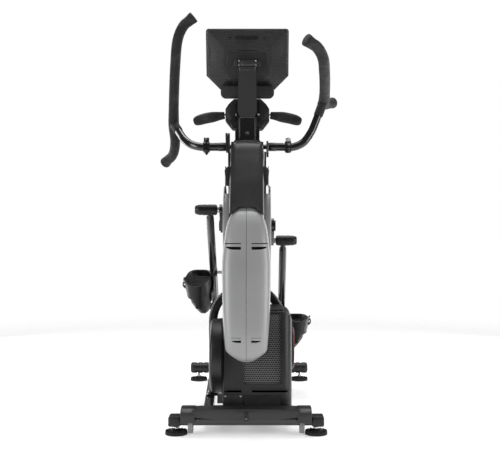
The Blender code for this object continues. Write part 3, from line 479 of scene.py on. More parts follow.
def lathe(name, profile, centre, axis, steps=72):
    """Turns (radius, height) points about an axis through the centre; heights run along the axis."""
    mesh = bpy.data.meshes.new(name)
    mesh.from_pydata([(r, 0, h) for r, h in profile], [(i, i + 1) for i in range(len(profile) - 1)], [])
    obj = bpy.data.objects.new(name, mesh)
    bpy.context.scene.collection.objects.link(obj)
    apply(obj, "SCREW", steps=steps, render_steps=steps, use_merge_vertices=True, merge_threshold=0.00005)
    obj.matrix_world = Matrix.Translation(centre) @ Vector((0, 0, 1)).rotation_difference(
        Vector(axis)
    ).to_matrix().to_4x4()
    only(obj)
    bpy.ops.object.transform_apply(location=True, rotation=True, scale=True)
    outward(obj)
    return obj


def outward(obj):
    """Merges doubles and turns every face outwards."""
    only(obj)
    bpy.ops.object.mode_set(mode="EDIT")
    bpy.ops.mesh.select_all(action="SELECT")
    bpy.ops.mesh.remove_doubles(threshold=0.00002)
    bpy.ops.mesh.normals_make_consistent(inside=False)
    bpy.ops.object.mode_set(mode="OBJECT")
    return obj


def converted(curve, name, matrix=None):
    path = bpy.data.objects.new(name, curve)
    bpy.context.scene.collection.objects.link(path)
    if matrix is not None:
        path.matrix_world = matrix
    only(path)
    bpy.ops.object.convert(target="MESH")
    obj = bpy.context.object
    bpy.ops.object.transform_apply(location=True, rotation=True, scale=True)
    return outward(obj)


def pipe(name, points, radius, radii=None, section=None, resolution=8):
    """A bar along the points, round or with the section of a curve object."""
    curve = bpy.data.curves.new(name, "CURVE")
    curve.dimensions = "3D"
    curve.use_fill_caps = True
    if section is None:
        curve.bevel_depth = radius
        curve.bevel_resolution = resolution
    else:
        curve.bevel_mode = "OBJECT"
        curve.bevel_object = section
    line = curve.splines.new("POLY")
    line.points.add(len(points) - 1)
    for i, point in enumerate(points):
        line.points[i].co = (*point, 1.0)
        line.points[i].radius = radii[i] if radii else 1.0
    return converted(curve, name)


PLANES = {
    "Z": Matrix.Identity(4),
    "X": Matrix(((0, 0, 1), (1, 0, 0), (0, 1, 0))).to_4x4(),
    "Y": Matrix(((1, 0, 0), (0, 0, -1), (0, 1, 0))).to_4x4(),
}


def panel(name, loops, axis, span):
    """Outlines extruded along X from (depth, z) points, along Y from (x, z) or along Z from (x, y)."""
    curve = bpy.data.curves.new(name, "CURVE")
    curve.dimensions = "2D"
    curve.fill_mode = "BOTH"
    curve.extrude = abs(span[1] - span[0]) / 2
    for loop in loops:
        line = curve.splines.new("POLY")
        line.points.add(len(loop) - 1)
        line.use_cyclic_u = True
        for i, (u, v) in enumerate(loop):
            line.points[i].co = (u + FRONT_FEET if axis == "X" else u, v, 0.0, 1.0)
    middle = sum(span) / 2
    shift = {"X": (middle, 0, 0), "Y": (0, middle + FRONT_FEET, 0), "Z": (0, 0, middle)}[axis]
    return converted(curve, name, Matrix.Translation(shift) @ PLANES[axis])


def skin(name, columns, rows, surface, thickness=0.0):
    """A grid laid over surface(u, v), both from 0 to 1, and thickened inwards."""
    bpy.ops.object.select_all(action="DESELECT")
    bpy.ops.mesh.primitive_grid_add(x_subdivisions=columns, y_subdivisions=rows, size=1.0)
    obj = named(name)
    for vertex in obj.data.vertices:
        vertex.co = surface(vertex.co.x + 0.5, vertex.co.y + 0.5)
    outward(obj)
    if thickness:
        apply(obj, "SOLIDIFY", thickness=thickness, offset=-1.0)
    return obj


def cut(obj, *tools):
    for tool in tools:
        apply(obj, "BOOLEAN", operation="DIFFERENCE", object=tool, solver="EXACT")
        bpy.data.objects.remove(tool, do_unlink=True)
    return obj


def merged(name, *pieces):
    """One object holding all the pieces."""
    only(pieces[0])
    for piece in pieces:
        piece.select_set(True)
    bpy.ops.object.join()
    obj = bpy.context.object
    obj.name = name
    return obj


def copied(obj, name, matrix):
    """A copy with its own mesh, moved by a matrix."""
    twin = bpy.data.objects.new(name, obj.data.copy())
    bpy.context.scene.collection.objects.link(twin)
    twin.data.transform(matrix)
    if matrix.determinant() < 0:
        twin.data.flip_normals()
    return twin


def moved(obj, matrix):
    obj.data.transform(matrix)
    return obj


def smooth(obj, angle=35):
    only(obj)
    bpy.ops.object.shade_smooth_by_angle(angle=math.radians(angle))
    return obj


def settle(obj, look, body, *nodes, slot=None, angle=35):
    """Finishes a piece: its material, its body and the CAD nodes that it stands for."""
    obj.data.materials.clear()
    obj.data.materials.append(look)
    smooth(obj, angle)
    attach(obj, body)
    if nodes:
        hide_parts(*nodes)
    name = slot or SLOT_OF.get(id(look))
    return obj


def arc(centre, radius, start, end, count):
    turns = [math.radians(start + (end - start) * i / (count - 1)) for i in range(count)]
    return [(centre[0] + radius * math.cos(t), centre[1] + radius * math.sin(t)) for t in turns]


def rounded_loop(low, high, radius, count=6):
    """A rectangle with round corners, as a closed loop."""
    (x0, z0), (x1, z1) = low, high
    loop = arc((x1 - radius, z0 + radius), radius, -90, 0, count)
    loop += arc((x1 - radius, z1 - radius), radius, 0, 90, count)
    loop += arc((x0 + radius, z1 - radius), radius, 90, 180, count)
    return loop + arc((x0 + radius, z0 + radius), radius, 180, 270, count)


def smooth_path(points, steps=8):
    """A smooth path through the points (Catmull-Rom)."""
    points = [Vector(p) for p in points]
    ends = [2 * points[0] - points[1], *points, 2 * points[-1] - points[-2]]
    path = []
    for i in range(len(points) - 1):
        a, b, c, d = ends[i : i + 4]
        for k in range(steps):
            t = k / steps
            bend = 2 * b + (c - a) * t + (2 * a - 5 * b + 4 * c - d) * t * t
            path.append((bend + (3 * b - a - 3 * c + d) * t**3) / 2)
    path.append(points[-1])
    return path


def read(table, spot):
    """Reads a smooth curve, with no overshoot, through (position, value) stations."""
    spot = min(max(spot, table[0][0]), table[-1][0])
    rises = [(b[1] - a[1]) / (b[0] - a[0]) for a, b in zip(table, table[1:])]
    slopes = [rises[0]]
    slopes += [2 * a * b / (a + b) if a * b > 0 else 0.0 for a, b in zip(rises, rises[1:])]
    slopes.append(rises[-1])
    i = max(k for k in range(len(rises)) if table[k][0] <= spot)
    (low, a), (high, b) = table[i], table[i + 1]
    run = high - low
    t = (spot - low) / run
    hold, ease = 2 * t**3 - 3 * t**2 + 1, t**3 - 2 * t**2 + t
    return hold * a + (1 - hold) * b + run * (ease * slopes[i] + (t**3 - t**2) * slopes[i + 1])


def down_slope(start, angle, distance):
    turn = math.radians(angle)
    return start[0] + distance * math.cos(turn), start[1] - distance * math.sin(turn)


def side_bar(name, side, x, centre, radius, end_radius=None, sides=48):
    """A round bar along X at a (depth, z)."""
    return bar(name, at(side * x[0], *centre), at(side * x[1], *centre), radius, end_radius, sides)


def side_span(side, x):
    return tuple(sorted((side * x[0], side * x[1])))


def side_block(name, side, x, depth, z):
    low, high = side_span(side, x)
    return block(name, at(low, depth[0], z[0]), at(high, depth[1], z[1]))


def hex_nut(name, centre, axis, across=0.013, height=0.006):
    """A hexagonal nut with a domed bolt end."""
    axis = Vector(axis).normalized()
    nut = bar(name, centre, Vector(centre) + axis * height, across / 2, sides=6)
    rounded(nut, 0.0006, 2)
    tip = Vector(centre) + axis * height
    turn = Vector((0, 0, 1)).rotation_difference(axis).to_matrix().to_4x4()
    dome = ball(name + "_dome", (0, 0, 0), (across * 0.32, across * 0.32, across * 0.3), 16)
    moved(dome, Matrix.Translation(tip) @ turn)
    return merged(name, nut, dome)


# ---------------------------------------------------------------- shrouds
GREY_WIDTH = [
    (0.268, 0.014), (0.271, 0.024), (0.281, 0.042), (0.295, 0.0625), (0.3045, 0.0735), (0.314, 0.079)
]
GREY_WIDTH += [(0.33, 0.081), (0.368, 0.0835), (0.437, 0.088), (0.577, 0.0915), (0.63, 0.092), (0.675, 0.089)]
GREY_WIDTH += [
    (0.722, 0.0845), (0.75, 0.0815), (0.77, 0.078), (0.797, 0.071), (0.817, 0.0625), (0.852, 0.044)
]
GREY_FRONT = [(0.268, 0.002), (0.28, -0.012), (0.3, -0.021), (0.38, -0.03), (0.56, -0.022)]
GREY_FRONT += [(0.7, 0.004), (0.78, 0.036), (0.82, 0.062), (0.852, 0.096)]
GREY_ROWS = [
    (0.0, 0.268), (0.06, 0.275), (0.14, 0.296), (0.22, 0.33), (0.4, 0.457), (0.41, 0.46), (0.8, 0.78),
    (1.0, 0.852),
]
CREASE = 0.66


def grey_back(z):
    """The rear edge: in front of the fan housing below, and round the crank cover above."""
    if z < 0.4575:
        return 0.0425
    clear = 0.171
    rise = abs(z - CRANK[1])
    return 0.304 if rise >= clear else min(0.304, CRANK[0] - math.sqrt(clear**2 - rise**2))


def plan_curve(u, width, front, back, corner):
    """A point of a shroud's outline in plan: u is 0 in the middle of the front and 1 at the rear edge."""
    if u < 0.72:
        turn = math.radians(90 * u / 0.72)
        return width * math.sin(turn) ** CREASE, front + corner * (1 - math.cos(turn) ** CREASE)
    t = (u - 0.72) / 0.28
    return width, front + corner + (back - front - corner) * t


def grey_height(v):
    """Rows packed closer at the rounded ends and at the step above the housing."""
    for (low, a), (high, b) in zip(GREY_ROWS, GREY_ROWS[1:]):
        if v <= high:
            return a + (b - a) * (v - low) / (high - low)
    return GREY_ROWS[-1][1]


def grey_corner(z):
    width, front, back = read(GREY_WIDTH, z), read(GREY_FRONT, z), grey_back(z)
    return min(0.046, width * 0.56, back - front - 0.006)


def grey_depth(x, z):
    """The depth of the shroud's front at a distance from its middle."""
    lean = math.asin(min(1.0, (abs(x) / read(GREY_WIDTH, z)) ** (1 / CREASE)))
    return read(GREY_FRONT, z) + grey_corner(z) * (1 - math.cos(lean) ** CREASE)


VENTS = [
    [(0.02, 0.7128), (0.08, 0.7128), (0.0815, 0.7108), (0.08, 0.709), (0.02, 0.709)],
    [(0.02, 0.6992), (0.079, 0.6992), (0.07, 0.6925), (0.058, 0.6888), (0.04, 0.6876), (0.02, 0.6876)],
    [(0.019, 0.3622), (0.056, 0.3622), (0.056, 0.3604), (0.019, 0.3604)],
    [(0.019, 0.3524), (0.056, 0.3506), (0.048, 0.3462), (0.036, 0.344), (0.019, 0.344)],
]


def front_shroud():
    """Two mirrored grey halves with a centre seam and two pairs of vents, and a black sheet behind each half
    as painted shade seen through the vents.
    """
    for name, side in SIDES:

        def surface(u, v):
            z = grey_height(v)
            width, front, back = read(GREY_WIDTH, z), read(GREY_FRONT, z), grey_back(z)
            corner = grey_corner(z)
            x, depth = plan_curve(u, width, front, max(back, front + corner + 0.004), corner)
            return at(side * max(x, 0.0006), depth, z)

        half = skin("grey_shroud_" + name, 44, 150, surface, 0.003)
        for loop in VENTS:
            cut(half, panel("vent", [[(side * x, z) for x, z in loop]], "Y", (-0.08, 0.085)))
        lips = [half]
        for loop in VENTS:
            edge = sorted((x, z) for x, z in loop if z < loop[0][1] - 0.0008)
            line = smooth_path([at(side * x, grey_depth(x, z) + 0.0006, z - 0.0008) for x, z in edge], 6)
            lips.append(pipe("lip", line, 0.0013, resolution=3))
        settle(merged("grey_shroud_" + name, *lips), SILVER, "frame", "front_shroud_" + name)
        # A black sheet behind the vents: painted shade seen through them.
        vent_shade_sheet = skin(
            "shroud_lining_" + name,
            16,
            30,
            lambda u, v, side=side: at(
                side * (0.002 + 0.08 * u),
                read(GREY_FRONT, 0.3 + 0.45 * v) + 0.022 + 0.01 * u * u,
                0.3 + 0.45 * v,
            ),
            0.001,
        )
        settle(vent_shade_sheet, RUBBER, "frame", slot="dark_plastic")


UPPER_FRONT = [(0.822, 0.056), (0.853, 0.078), (0.95, 0.136), (1.06, 0.204), (1.104, 0.234), (1.124, 0.262)]
UPPER_WIDTH = [
    (0.822, 0.0683), (0.95, 0.068), (1.06, 0.0676), (1.095, 0.0655), (1.115, 0.059), (1.124, 0.048)
]
UPPER_BACK = [(0.822, 0.205), (0.945, 0.214), (1.124, 0.306)]


def apron_edge(x):
    """The upper shroud's lower edge: an arch over the grey dome, down to two points at its sides."""
    t = min(1.0, max(0.0, (abs(x) - 0.026) / 0.04))
    return 0.851 - 0.027 * t * t * (3 - 2 * t)


def upper_shroud():
    def surface(u, v):
        side, turn = (1, 2 * u - 1) if u >= 0.5 else (-1, 1 - 2 * u)
        flat = plan_curve(turn, 0.067, 0, 0.1, 0.034)[0]
        low = apron_edge(flat)
        z = low + (1.124 - low) * v
        width, front, back = read(UPPER_WIDTH, z), read(UPPER_FRONT, z), read(UPPER_BACK, z)
        x, depth = plan_curve(turn, width, front, back, min(0.036, back - front - 0.006))
        return at(side * x, depth, z)

    shell = skin("upper_shroud_shell", 72, 90, surface, 0.003)
    settle(shell, SATIN, "frame", "upper_shroud")
    roof = block("shroud_roof", at(-0.054, 0.268, 1.1195), at(0.054, 0.33, 1.1235))
    settle(rounded(roof, 0.0015), SATIN, "frame", slot="charcoal_plastic")
    for name, side in SIDES:
        outline = [(0.192, 0.93), (0.192, 0.996), (0.2, 1.014), (0.398, 1.014), (0.398, 0.96), (0.33, 0.946)]
        guard = rounded(panel("guard", [outline], "X", side_span(side, (0.0832, 0.0862))), 0.001, 2)
        wing = [
            (0.066, 1.014), (0.0745, 1.014), (0.0885, 0.9975), (0.085, 0.958), (0.0795, 0.935),
            (0.066, 0.935),
        ]
        flange = rounded(panel("flange", [[(side * x, z) for x, z in wing]], "Y", (0.188, 0.1945)), 0.0018, 3)
        settle(merged("rod_guard_" + name, guard, flange), SATIN, "frame", slot="dark_plastic")


def crank_cover(name, side):
    """A round cover outside the crank, with a raised ring, a boss and a lip round its front."""
    profile = [(0.015, 0.0884), (0.16, 0.0884), (0.1638, 0.0895), (0.165, 0.0915), (0.1632, 0.0945)]
    profile += [(0.1595, 0.0962), (0.13, 0.0966), (0.1275, 0.0958), (0.122, 0.0958), (0.1195, 0.0966)]
    profile += [(0.05, 0.0968), (0.047, 0.0975), (0.03, 0.0978), (0.015, 0.0978), (0.015, 0.0884)]
    disc = lathe("crank_cover_shell_" + name, profile, at(0, *CRANK), (side, 0, 0), 112)
    lip = arc(CRANK, 0.1645, 128, 264, 46) + arc(CRANK, 0.1612, 264, 128, 46)
    rim = rounded(panel("lip", [lip], "X", side_span(side, (0.0705, 0.0905))), 0.0008, 2)
    settle(merged("crank_cover_shell_" + name, disc, rim), SILVER, "frame", "crank_cover_" + name)


# ---------------------------------------------------------------- fan housing
def fan_housing():
    (x0, y0, z0), (x1, y1, z1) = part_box("fan_housing")
    shell = block("housing_shell", (x0, y0, z0), (x1, y1, z1))
    only(shell)
    bpy.ops.object.mode_set(mode="EDIT")
    bpy.ops.mesh.select_mode(type="EDGE")
    bpy.ops.mesh.select_all(action="DESELECT")
    bpy.ops.object.mode_set(mode="OBJECT")
    for edge in shell.data.edges:
        a, b = (shell.data.vertices[i].co for i in edge.vertices)
        right_front = min(a.x, b.x) > x1 - 0.001 and max(a.y, b.y) < y0 + 0.001
        top_right = min(a.x, b.x) > x1 - 0.001 and min(a.z, b.z) > z1 - 0.001
        edge.select = right_front or top_right
    bpy.ops.object.mode_set(mode="EDIT")
    bpy.ops.mesh.bevel(offset=0.036, segments=12, affect="EDGES")
    bpy.ops.object.mode_set(mode="OBJECT")
    rounded(shell, 0.006, 4, 50)
    wall = 0.004
    inside = block("inside", (x0 + wall, y0 + 0.006, z0 + wall), (x1 - 0.01, y1 - wall, z1 - 0.01))
    rounded(inside, 0.026, 6)
    mouth = rounded_loop((-0.013, 0.178), (0.1325, 0.4425), 0.01)
    cut(shell, inside)
    cut(shell, panel("mouth", [mouth], "Y", (0.02, 0.052)))
    for low, high in ((-0.086, -0.018), (0.021, 0.158)):
        slot = panel("slot", [rounded_loop((low, 0.1465), (high, 0.1545), 0.0025)], "Y", (0.02, 0.056))
        cut(shell, slot)
    recess = panel("recess", [rounded_loop((-0.011, 0.092), (0.134, 0.139), 0.003)], "Y", (0.02, 0.0475))
    cut(shell, recess)
    label_plate = panel(
        "blank_plate", [rounded_loop((-0.0085, 0.0945), (0.1315, 0.1365), 0.002)], "Y", (0.0462, 0.048)
    )
    settle(rounded(label_plate, 0.0006, 2), RUBBER, "frame", slot="dark_plastic")
    cut(shell, block("belt_way", at(-0.064, 0.11, 0.385), at(-0.039, 0.32, 0.47)))
    cut(shell, block("drum_way", at(-0.1, 0.06, 0.135), at(-0.08, 0.29, 0.405)))
    settle(shell, PLASTIC, "frame", "fan_housing")
    lid = rounded_loop((-0.088, 0.452), (0.14, 0.4585), 0.003)
    top = panel("housing_lip", [lid], "Y", (0.06, 0.3))
    settle(rounded(top, 0.002), PLASTIC, "frame")
    rim = [
        rounded_loop((-0.0155, 0.1755), (0.135, 0.445), 0.012),
        rounded_loop((-0.0125, 0.1785), (0.132, 0.442), 0.0095),
    ]
    edge = panel("mouth_rim", rim, "Y", (0.0438, 0.0465))
    settle(rounded(edge, 0.0008, 2), PLASTIC, "frame")
    for low, high, z in ((-0.0865, -0.0175, 0.1565), (0.0205, 0.1585, 0.1565)):
        brow = panel("vent_brow", [rounded_loop((low, z), (high, z + 0.0035), 0.0015)], "Y", (0.0415, 0.0465))
        settle(rounded(brow, 0.0008, 2), PLASTIC, "frame")
    plate = panel(
        "service_plate", [rounded_loop((-0.088, 0.088), (-0.0145, 0.139), 0.003)], "Y", (0.0432, 0.0462)
    )
    settle(rounded(plate, 0.0008, 2), PLASTIC, "frame")
    inlet = lathe(
        "power_inlet",
        [
            (0.0, 0.0005), (0.0028, 0.0005), (0.003, 0.003), (0.0042, 0.0034), (0.005, 0.0028),
            (0.0052, 0.0), (0.0, 0.0),
        ],
        at(-0.047, 0.0432, 0.0935),
        (0, -1, 0),
        32,
    )
    settle(inlet, CHROME, "frame", slot="steel")
    for x in (-0.08, -0.022):
        screw = lathe(
            "plate_screw", [
                (0.0, 0.0006), (0.0014, 0.0016), (0.0032, 0.0012), (0.0036, 0.0), (0.0, 0.0)
            ], at(x, 0.0433, 0.1325), (0, -1, 0), 24
        )
        settle(screw, STEEL, "frame")
    intake_grille()
    drum()
    side_disc()


def intake_grille():
    """A mesh of hexagonal cells behind the housing's mouth, with a black sheet behind it as painted shade."""
    pitch, wall, deep = 0.0088, 0.0011, 0.0016
    bpy.ops.object.select_all(action="DESELECT")
    bpy.ops.mesh.primitive_circle_add(vertices=6, radius=pitch / math.sqrt(3), fill_type="NGON")
    cell = named("grille_cell")
    bpy.ops.object.mode_set(mode="EDIT")
    bpy.ops.mesh.select_all(action="SELECT")
    bpy.ops.mesh.inset(thickness=wall)
    bpy.ops.mesh.delete(type="FACE")
    bpy.ops.object.mode_set(mode="OBJECT")
    moved(cell, Matrix.Rotation(math.radians(90), 4, "X"))
    columns, pairs = 17, 18
    rise = pitch * math.sqrt(3)
    twin = copied(cell, "grille_twin", Matrix.Translation((pitch / 2, 0, rise / 2)))
    cell = merged("grille_mesh", cell, twin)
    apply(
        cell,
        "ARRAY",
        count=columns,
        use_relative_offset=False,
        use_constant_offset=True,
        constant_offset_displace=(pitch, 0, 0),
    )
    apply(
        cell,
        "ARRAY",
        count=pairs,
        use_relative_offset=False,
        use_constant_offset=True,
        constant_offset_displace=(0, 0, rise),
    )
    moved(cell, Matrix.Translation(at(-0.0155, 0.0512, 0.1755)))
    outward(cell)
    apply(cell, "SOLIDIFY", thickness=deep, offset=0.0)
    # Pale grey mesh: painted highlight on the webs.
    settle(cell, MESH, "frame", "intake_grille", slot="dark_plastic")
    # A black sheet just behind the mesh: painted shade inside the housing.
    grille_shade_sheet = rounded(block("grille_shadow", at(-0.018, 0.058, 0.172), at(0.138, 0.06, 0.446)), 0.0005, 1)
    settle(grille_shade_sheet, RUBBER, "frame", slot="dark_plastic")


def drum():
    """The flywheel's round cover on the left of the housing."""
    profile = [(0.1405, 0.0945), (0.145, 0.0945), (0.1452, 0.104), (0.144, 0.112), (0.1435, 0.129)]
    profile += [(0.1415, 0.1345), (0.136, 0.139), (0.128, 0.1408), (0.1, 0.1412), (0.0985, 0.14)]
    profile += [(0.092, 0.14), (0.0905, 0.1412), (0.03, 0.1412), (0.028, 0.1402), (0.0, 0.1402)]
    inner = [(0.0, 0.1375), (0.128, 0.1375), (0.137, 0.134), (0.1405, 0.127), (0.1405, 0.0945)]
    shell = lathe("flywheel_drum", profile + inner, at(0, *FAN), (-1, 0, 0), 128)
    settle(shell, PLASTIC, "frame", "flywheel_cover")
    strap = panel("drum_strap", [rounded_loop((-0.0945, 0.13), (-0.0885, 0.41), 0.001)], "Y", (0.062, 0.29))
    settle(strap, PLASTIC, "frame")
    for i in range(5):
        turn = math.radians(90 + 72 * i)
        spot = at(-0.14, FAN[0] + 0.115 * math.cos(turn), FAN[1] + 0.115 * math.sin(turn))
        screw = lathe(
            "drum_screw",
            [(0.0, 0.001), (0.0018, 0.0022), (0.004, 0.0016), (0.0044, 0.0), (0.0, 0.0)],
            spot,
            (-1, 0, 0),
            24,
        )
        settle(screw, STEEL, "frame")


def side_disc():
    """The round cover on the right of the housing, with its thin red ring."""
    centre = (0.18, 0.3)
    profile = [
        (0.0, 0.1734), (0.085, 0.1734), (0.0852, 0.1765), (0.0835, 0.18), (0.08, 0.1812), (0.07, 0.1815)
    ]
    profile += [(0.069, 0.183), (0.052, 0.1848), (0.03, 0.1835), (0.0, 0.1832)]
    disc = lathe("fan_cover_disc", profile[::-1], at(0, *centre), (1, 0, 0), 96)
    settle(disc, PLASTIC, "frame", "fan_side_cover")
    ring = lathe(
        "fan_cover_ring",
        [
            (0.079, 0.181), (0.0795, 0.1832), (0.0775, 0.1846), (0.0735, 0.1846), (0.0718, 0.183),
            (0.0718, 0.181), (0.079, 0.181),
        ],
        at(0, *centre),
        (1, 0, 0),
        96,
    )
    settle(ring, RED, "frame", slot="grey_plastic")


# ---------------------------------------------------------------- handles
GRIP_PATH = [
    (0.219, 0.0, 0.535),
    (0.262, 0.002, 0.498),
    (0.288, 0.012, 0.44),
    (0.3, 0.045, 0.35),
    (0.311, 0.105, 0.232),
    (0.318, 0.164, 0.115),
    (0.317, 0.22, 0.04),
    (0.333, 0.278, -0.01),
    (0.373, 0.33, -0.0425),
]
SUPPORT_PATH = [
    (0.0875, 0.0, 0.0),
    (0.14, 0.0, 0.0),
    (0.19, 0.0, 0.0),
    (0.232, 0.016, 0.012),
    (0.262, 0.049, 0.035),
    (0.28, 0.082, 0.058),
    (0.303, 0.131, 0.092),
    (0.318, 0.164, 0.115),
]


def swung(path, side, pose):
    """Points about the handles' axis, at a swing angle."""
    turn = Matrix.Rotation(math.radians(pose), 3, "X")
    return [at(0, *SWING) + turn @ Vector((side * x, y, z)) for x, y, z in path]


def handle(name, side):
    body = name + "_handle"
    pose = HANDLE_POSE[name]
    line = smooth_path(swung(GRIP_PATH, side, pose), 10)
    first, last = (line[1] - line[0]).normalized(), (line[-2] - line[-1]).normalized()
    flare = [
        (0.0, 0.96), (0.0006, 1.06), (0.002, 1.13), (0.006, 1.14), (0.013, 1.1), (0.022, 1.04), (0.034, 1.0)
    ]
    grip_line = [line[0] + first * d for d, _ in flare]
    swell = [size for _, size in flare]
    inner = [p for p in line if (p - line[0]).length > 0.04 and (p - line[-1]).length > 0.04]
    grip_line += inner + [line[-1] + last * d for d, _ in reversed(flare)]
    swell += [1.0] * len(inner) + [size for _, size in reversed(flare)]
    junction = swung([GRIP_PATH[5]], side, pose)[0]
    for i, point in enumerate(grip_line):
        near = (point - junction).length
        swell[i] *= 1 + 0.08 * math.exp(-((near / 0.05) ** 2))
    grip = pipe("foam_grip_" + name, grip_line, 0.0213, swell, resolution=12)
    settle(grip, FOAM, body, "handle_grip_" + name, angle=50)
    support = smooth_path(swung(SUPPORT_PATH, side, pose), 8)
    tube = pipe("support_tube_" + name, support, 0.0165, resolution=12)
    span = side_span(side, (0.0785, 0.0865))
    end = (
        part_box("connecting_rod_" + name)[0][1] - FRONT_FEET + 0.011,
        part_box("connecting_rod_" + name)[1][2] - 0.011,
    )
    rocker = panel("rocker_arm_" + name, [link_loop(SWING, end, 0.0245, 0.012)], "X", span)
    settle(rounded(rocker, 0.0015, 2), PLASTIC, body)
    settle(tube, ENAMEL, body, "handle_tube_" + name, angle=45)
    pivot_sleeve = side_bar("pivot_sleeve", side, (0.0868, 0.118), SWING, 0.0176)
    cut(pivot_sleeve, side_bar("bore", side, (0.08, 0.125), SWING, 0.0106))
    settle(rounded(pivot_sleeve, 0.0012, 2), ENAMEL, body)
    sleeve_path = [p for p in support if (p - support[-1]).length < 0.075]
    sleeve = pipe(
        "forearm_sleeve_" + name,
        sleeve_path,
        0.0192,
        [0.95, *[1.0] * (len(sleeve_path) - 1)],
        resolution=12,
    )
    settle(sleeve, FOAM, body, angle=50)
    clamp(name, side, pose, body)


def clamp(name, side, pose, body):
    """A split clamp round the pivot tube, with its bolt and nut."""
    turn = Matrix.Rotation(math.radians(pose), 3, "X")
    outline = []
    shape = arc((0, 0), 0.0245, 215, 505, 22) + [
        (0.0125, 0.026), (0.0125, 0.037), (-0.0125, 0.037), (-0.0125, 0.026)
    ]
    for u, v in shape:
        spot = turn @ Vector((0, u, v))
        outline.append((SWING[0] + spot.y, SWING[1] + spot.z))
    collar = panel("clamp_" + name, [outline], "X", side_span(side, (0.157, 0.178)))
    settle(rounded(collar, 0.0018, 3), ENAMEL, body)
    centre = at(side * 0.1675, *SWING)
    for sign in (1, -1):
        start = centre + turn @ Vector((0, sign * 0.0125, 0.031))
        bolt = hex_nut("clamp_nut_" + name, start, turn @ Vector((0, sign, 0)), 0.012, 0.005)
        settle(bolt, CAST, body)
    foot = centre + turn @ Vector((0, 0, -0.0235))
    settle(hex_nut("clamp_foot_" + name, foot, turn @ Vector((0, 0, -1)), 0.014, 0.006), ENAMEL, body)
    for offset in (0.1545, 0.1785):
        ring = lathe(
            "clamp_ring_" + name,
            [
                (0.0164, 0.0), (0.0212, 0.0), (0.0216, 0.0008), (0.0216, 0.0018), (0.0212, 0.0024),
                (0.0164, 0.0024), (0.0164, 0.0),
            ],
            at(side * offset, *SWING),
            (side, 0, 0),
            48,
        )
        settle(ring, PLASTIC, body)


def link_loop(a, b, radius_a, radius_b):
    """The outline of a bar with round ends of two radii."""
    run = Vector(b) - Vector(a)
    heading = math.degrees(math.atan2(run.y, run.x))
    spread = math.degrees(math.acos((radius_a - radius_b) / run.length))
    around_a = arc(a, radius_a, heading + spread, heading + 360 - spread, 33)
    return around_a + arc(b, radius_b, heading - spread, heading + spread, 17)


# ---------------------------------------------------------------- legs and pedals
def slope_way(name):
    turn = math.radians(LEG_SLOPE[name])
    return Vector((0, math.cos(turn), -math.sin(turn)))


def leg(name, side):
    """A segmented bearing barrel, and a swaged tube down to the pedal."""
    body = name + "_leg"
    profile = [(0.0, 0.12), (0.0165, 0.12), (0.019, 0.1215), (0.019, 0.124), (0.0212, 0.1255)]
    profile += [(0.0215, 0.13), (0.0215, 0.158), (0.0203, 0.1592), (0.0203, 0.1612), (0.0215, 0.1624)]
    profile += [(0.0215, 0.18), (0.02, 0.1818), (0.02, 0.1836), (0.0213, 0.185), (0.0208, 0.193)]
    profile += [(0.0185, 0.202), (0.016, 0.208), (0.0135, 0.2098), (0.0, 0.21)]
    barrel = lathe("leg_barrel_" + name, profile, at(0, *PIN[name]), (side, 0, 0), 64)
    settle(barrel, PLASTIC, body, angle=30)
    for x in (0.1355, 0.1455, 0.169):
        band = [(0.0213, x), (0.0222, x + 0.0008), (0.0222, x + 0.0026), (0.0213, x + 0.0034), (0.0213, x)]
        settle(lathe("barrel_band_" + name, band, at(0, *PIN[name]), (side, 0, 0), 64), PLASTIC, body)
    length = LEG_LENGTH
    tube = [(0.0, 0.012), (0.0095, 0.012), (0.0095, 0.03), (0.0112, 0.0345), (0.014, 0.039), (0.0153, 0.045)]
    tube += [(0.0157, 0.052), (0.0157, length - 0.004), (0.013, length), (0.0, length)]
    top = at(side * 0.151, *PIN[name])
    shaft = lathe("leg_shaft_" + name, tube, top, slope_way(name), 48)
    collar = lathe(
        "leg_collar",
        [
            (0.009, 0.0205), (0.0118, 0.0212), (0.0122, 0.024), (0.0118, 0.0268), (0.009, 0.0275),
            (0.009, 0.0205),
        ],
        top,
        slope_way(name),
        48,
    )
    settle(merged("leg_shaft_" + name, shaft, collar), ENAMEL, body, "leg_" + name)
    nut = hex_nut("pin_nut_" + name, at(side * 0.1112, *PIN[name]), (side, 0, 0), 0.026, 0.0075)
    settle(nut, STEEL, "crank")
    boss = side_bar("roller_boss_" + name, side, (0.135, 0.165), ROLLER[name], 0.0185)
    cap = side_bar("cap", side, (0.1645, 0.169), ROLLER[name], 0.011, 0.0085)
    settle(merged("roller_boss_" + name, rounded(boss, 0.003, 3), rounded(cap, 0.001, 2)), PLASTIC, body)
    tail = down_slope(PIN[name], LEG_SLOPE[name], length - 0.016)
    lug = rounded(side_bar("lug", side, (0.1655, 0.188), tail, 0.015), 0.002, 3)
    settle(merged("tail_lug_" + name, lug), PLASTIC, body)
    settle(
        hex_nut("tail_nut_" + name, at(side * 0.188, *tail), (side, 0, 0), 0.02, 0.008),
        GUNMETAL,
        body,
        slot="steel",
    )


def on_pedal(obj, name):
    """Moves a piece modelled level, with the tread at the origin, to its pedal."""
    spot = down_slope(PIN[name], LEG_SLOPE[name], PEDAL_DROP)
    return moved(
        obj, Matrix.Translation(at(0, *spot)) @ Matrix.Rotation(math.radians(PEDAL_TILT[name]), 4, "X")
    )


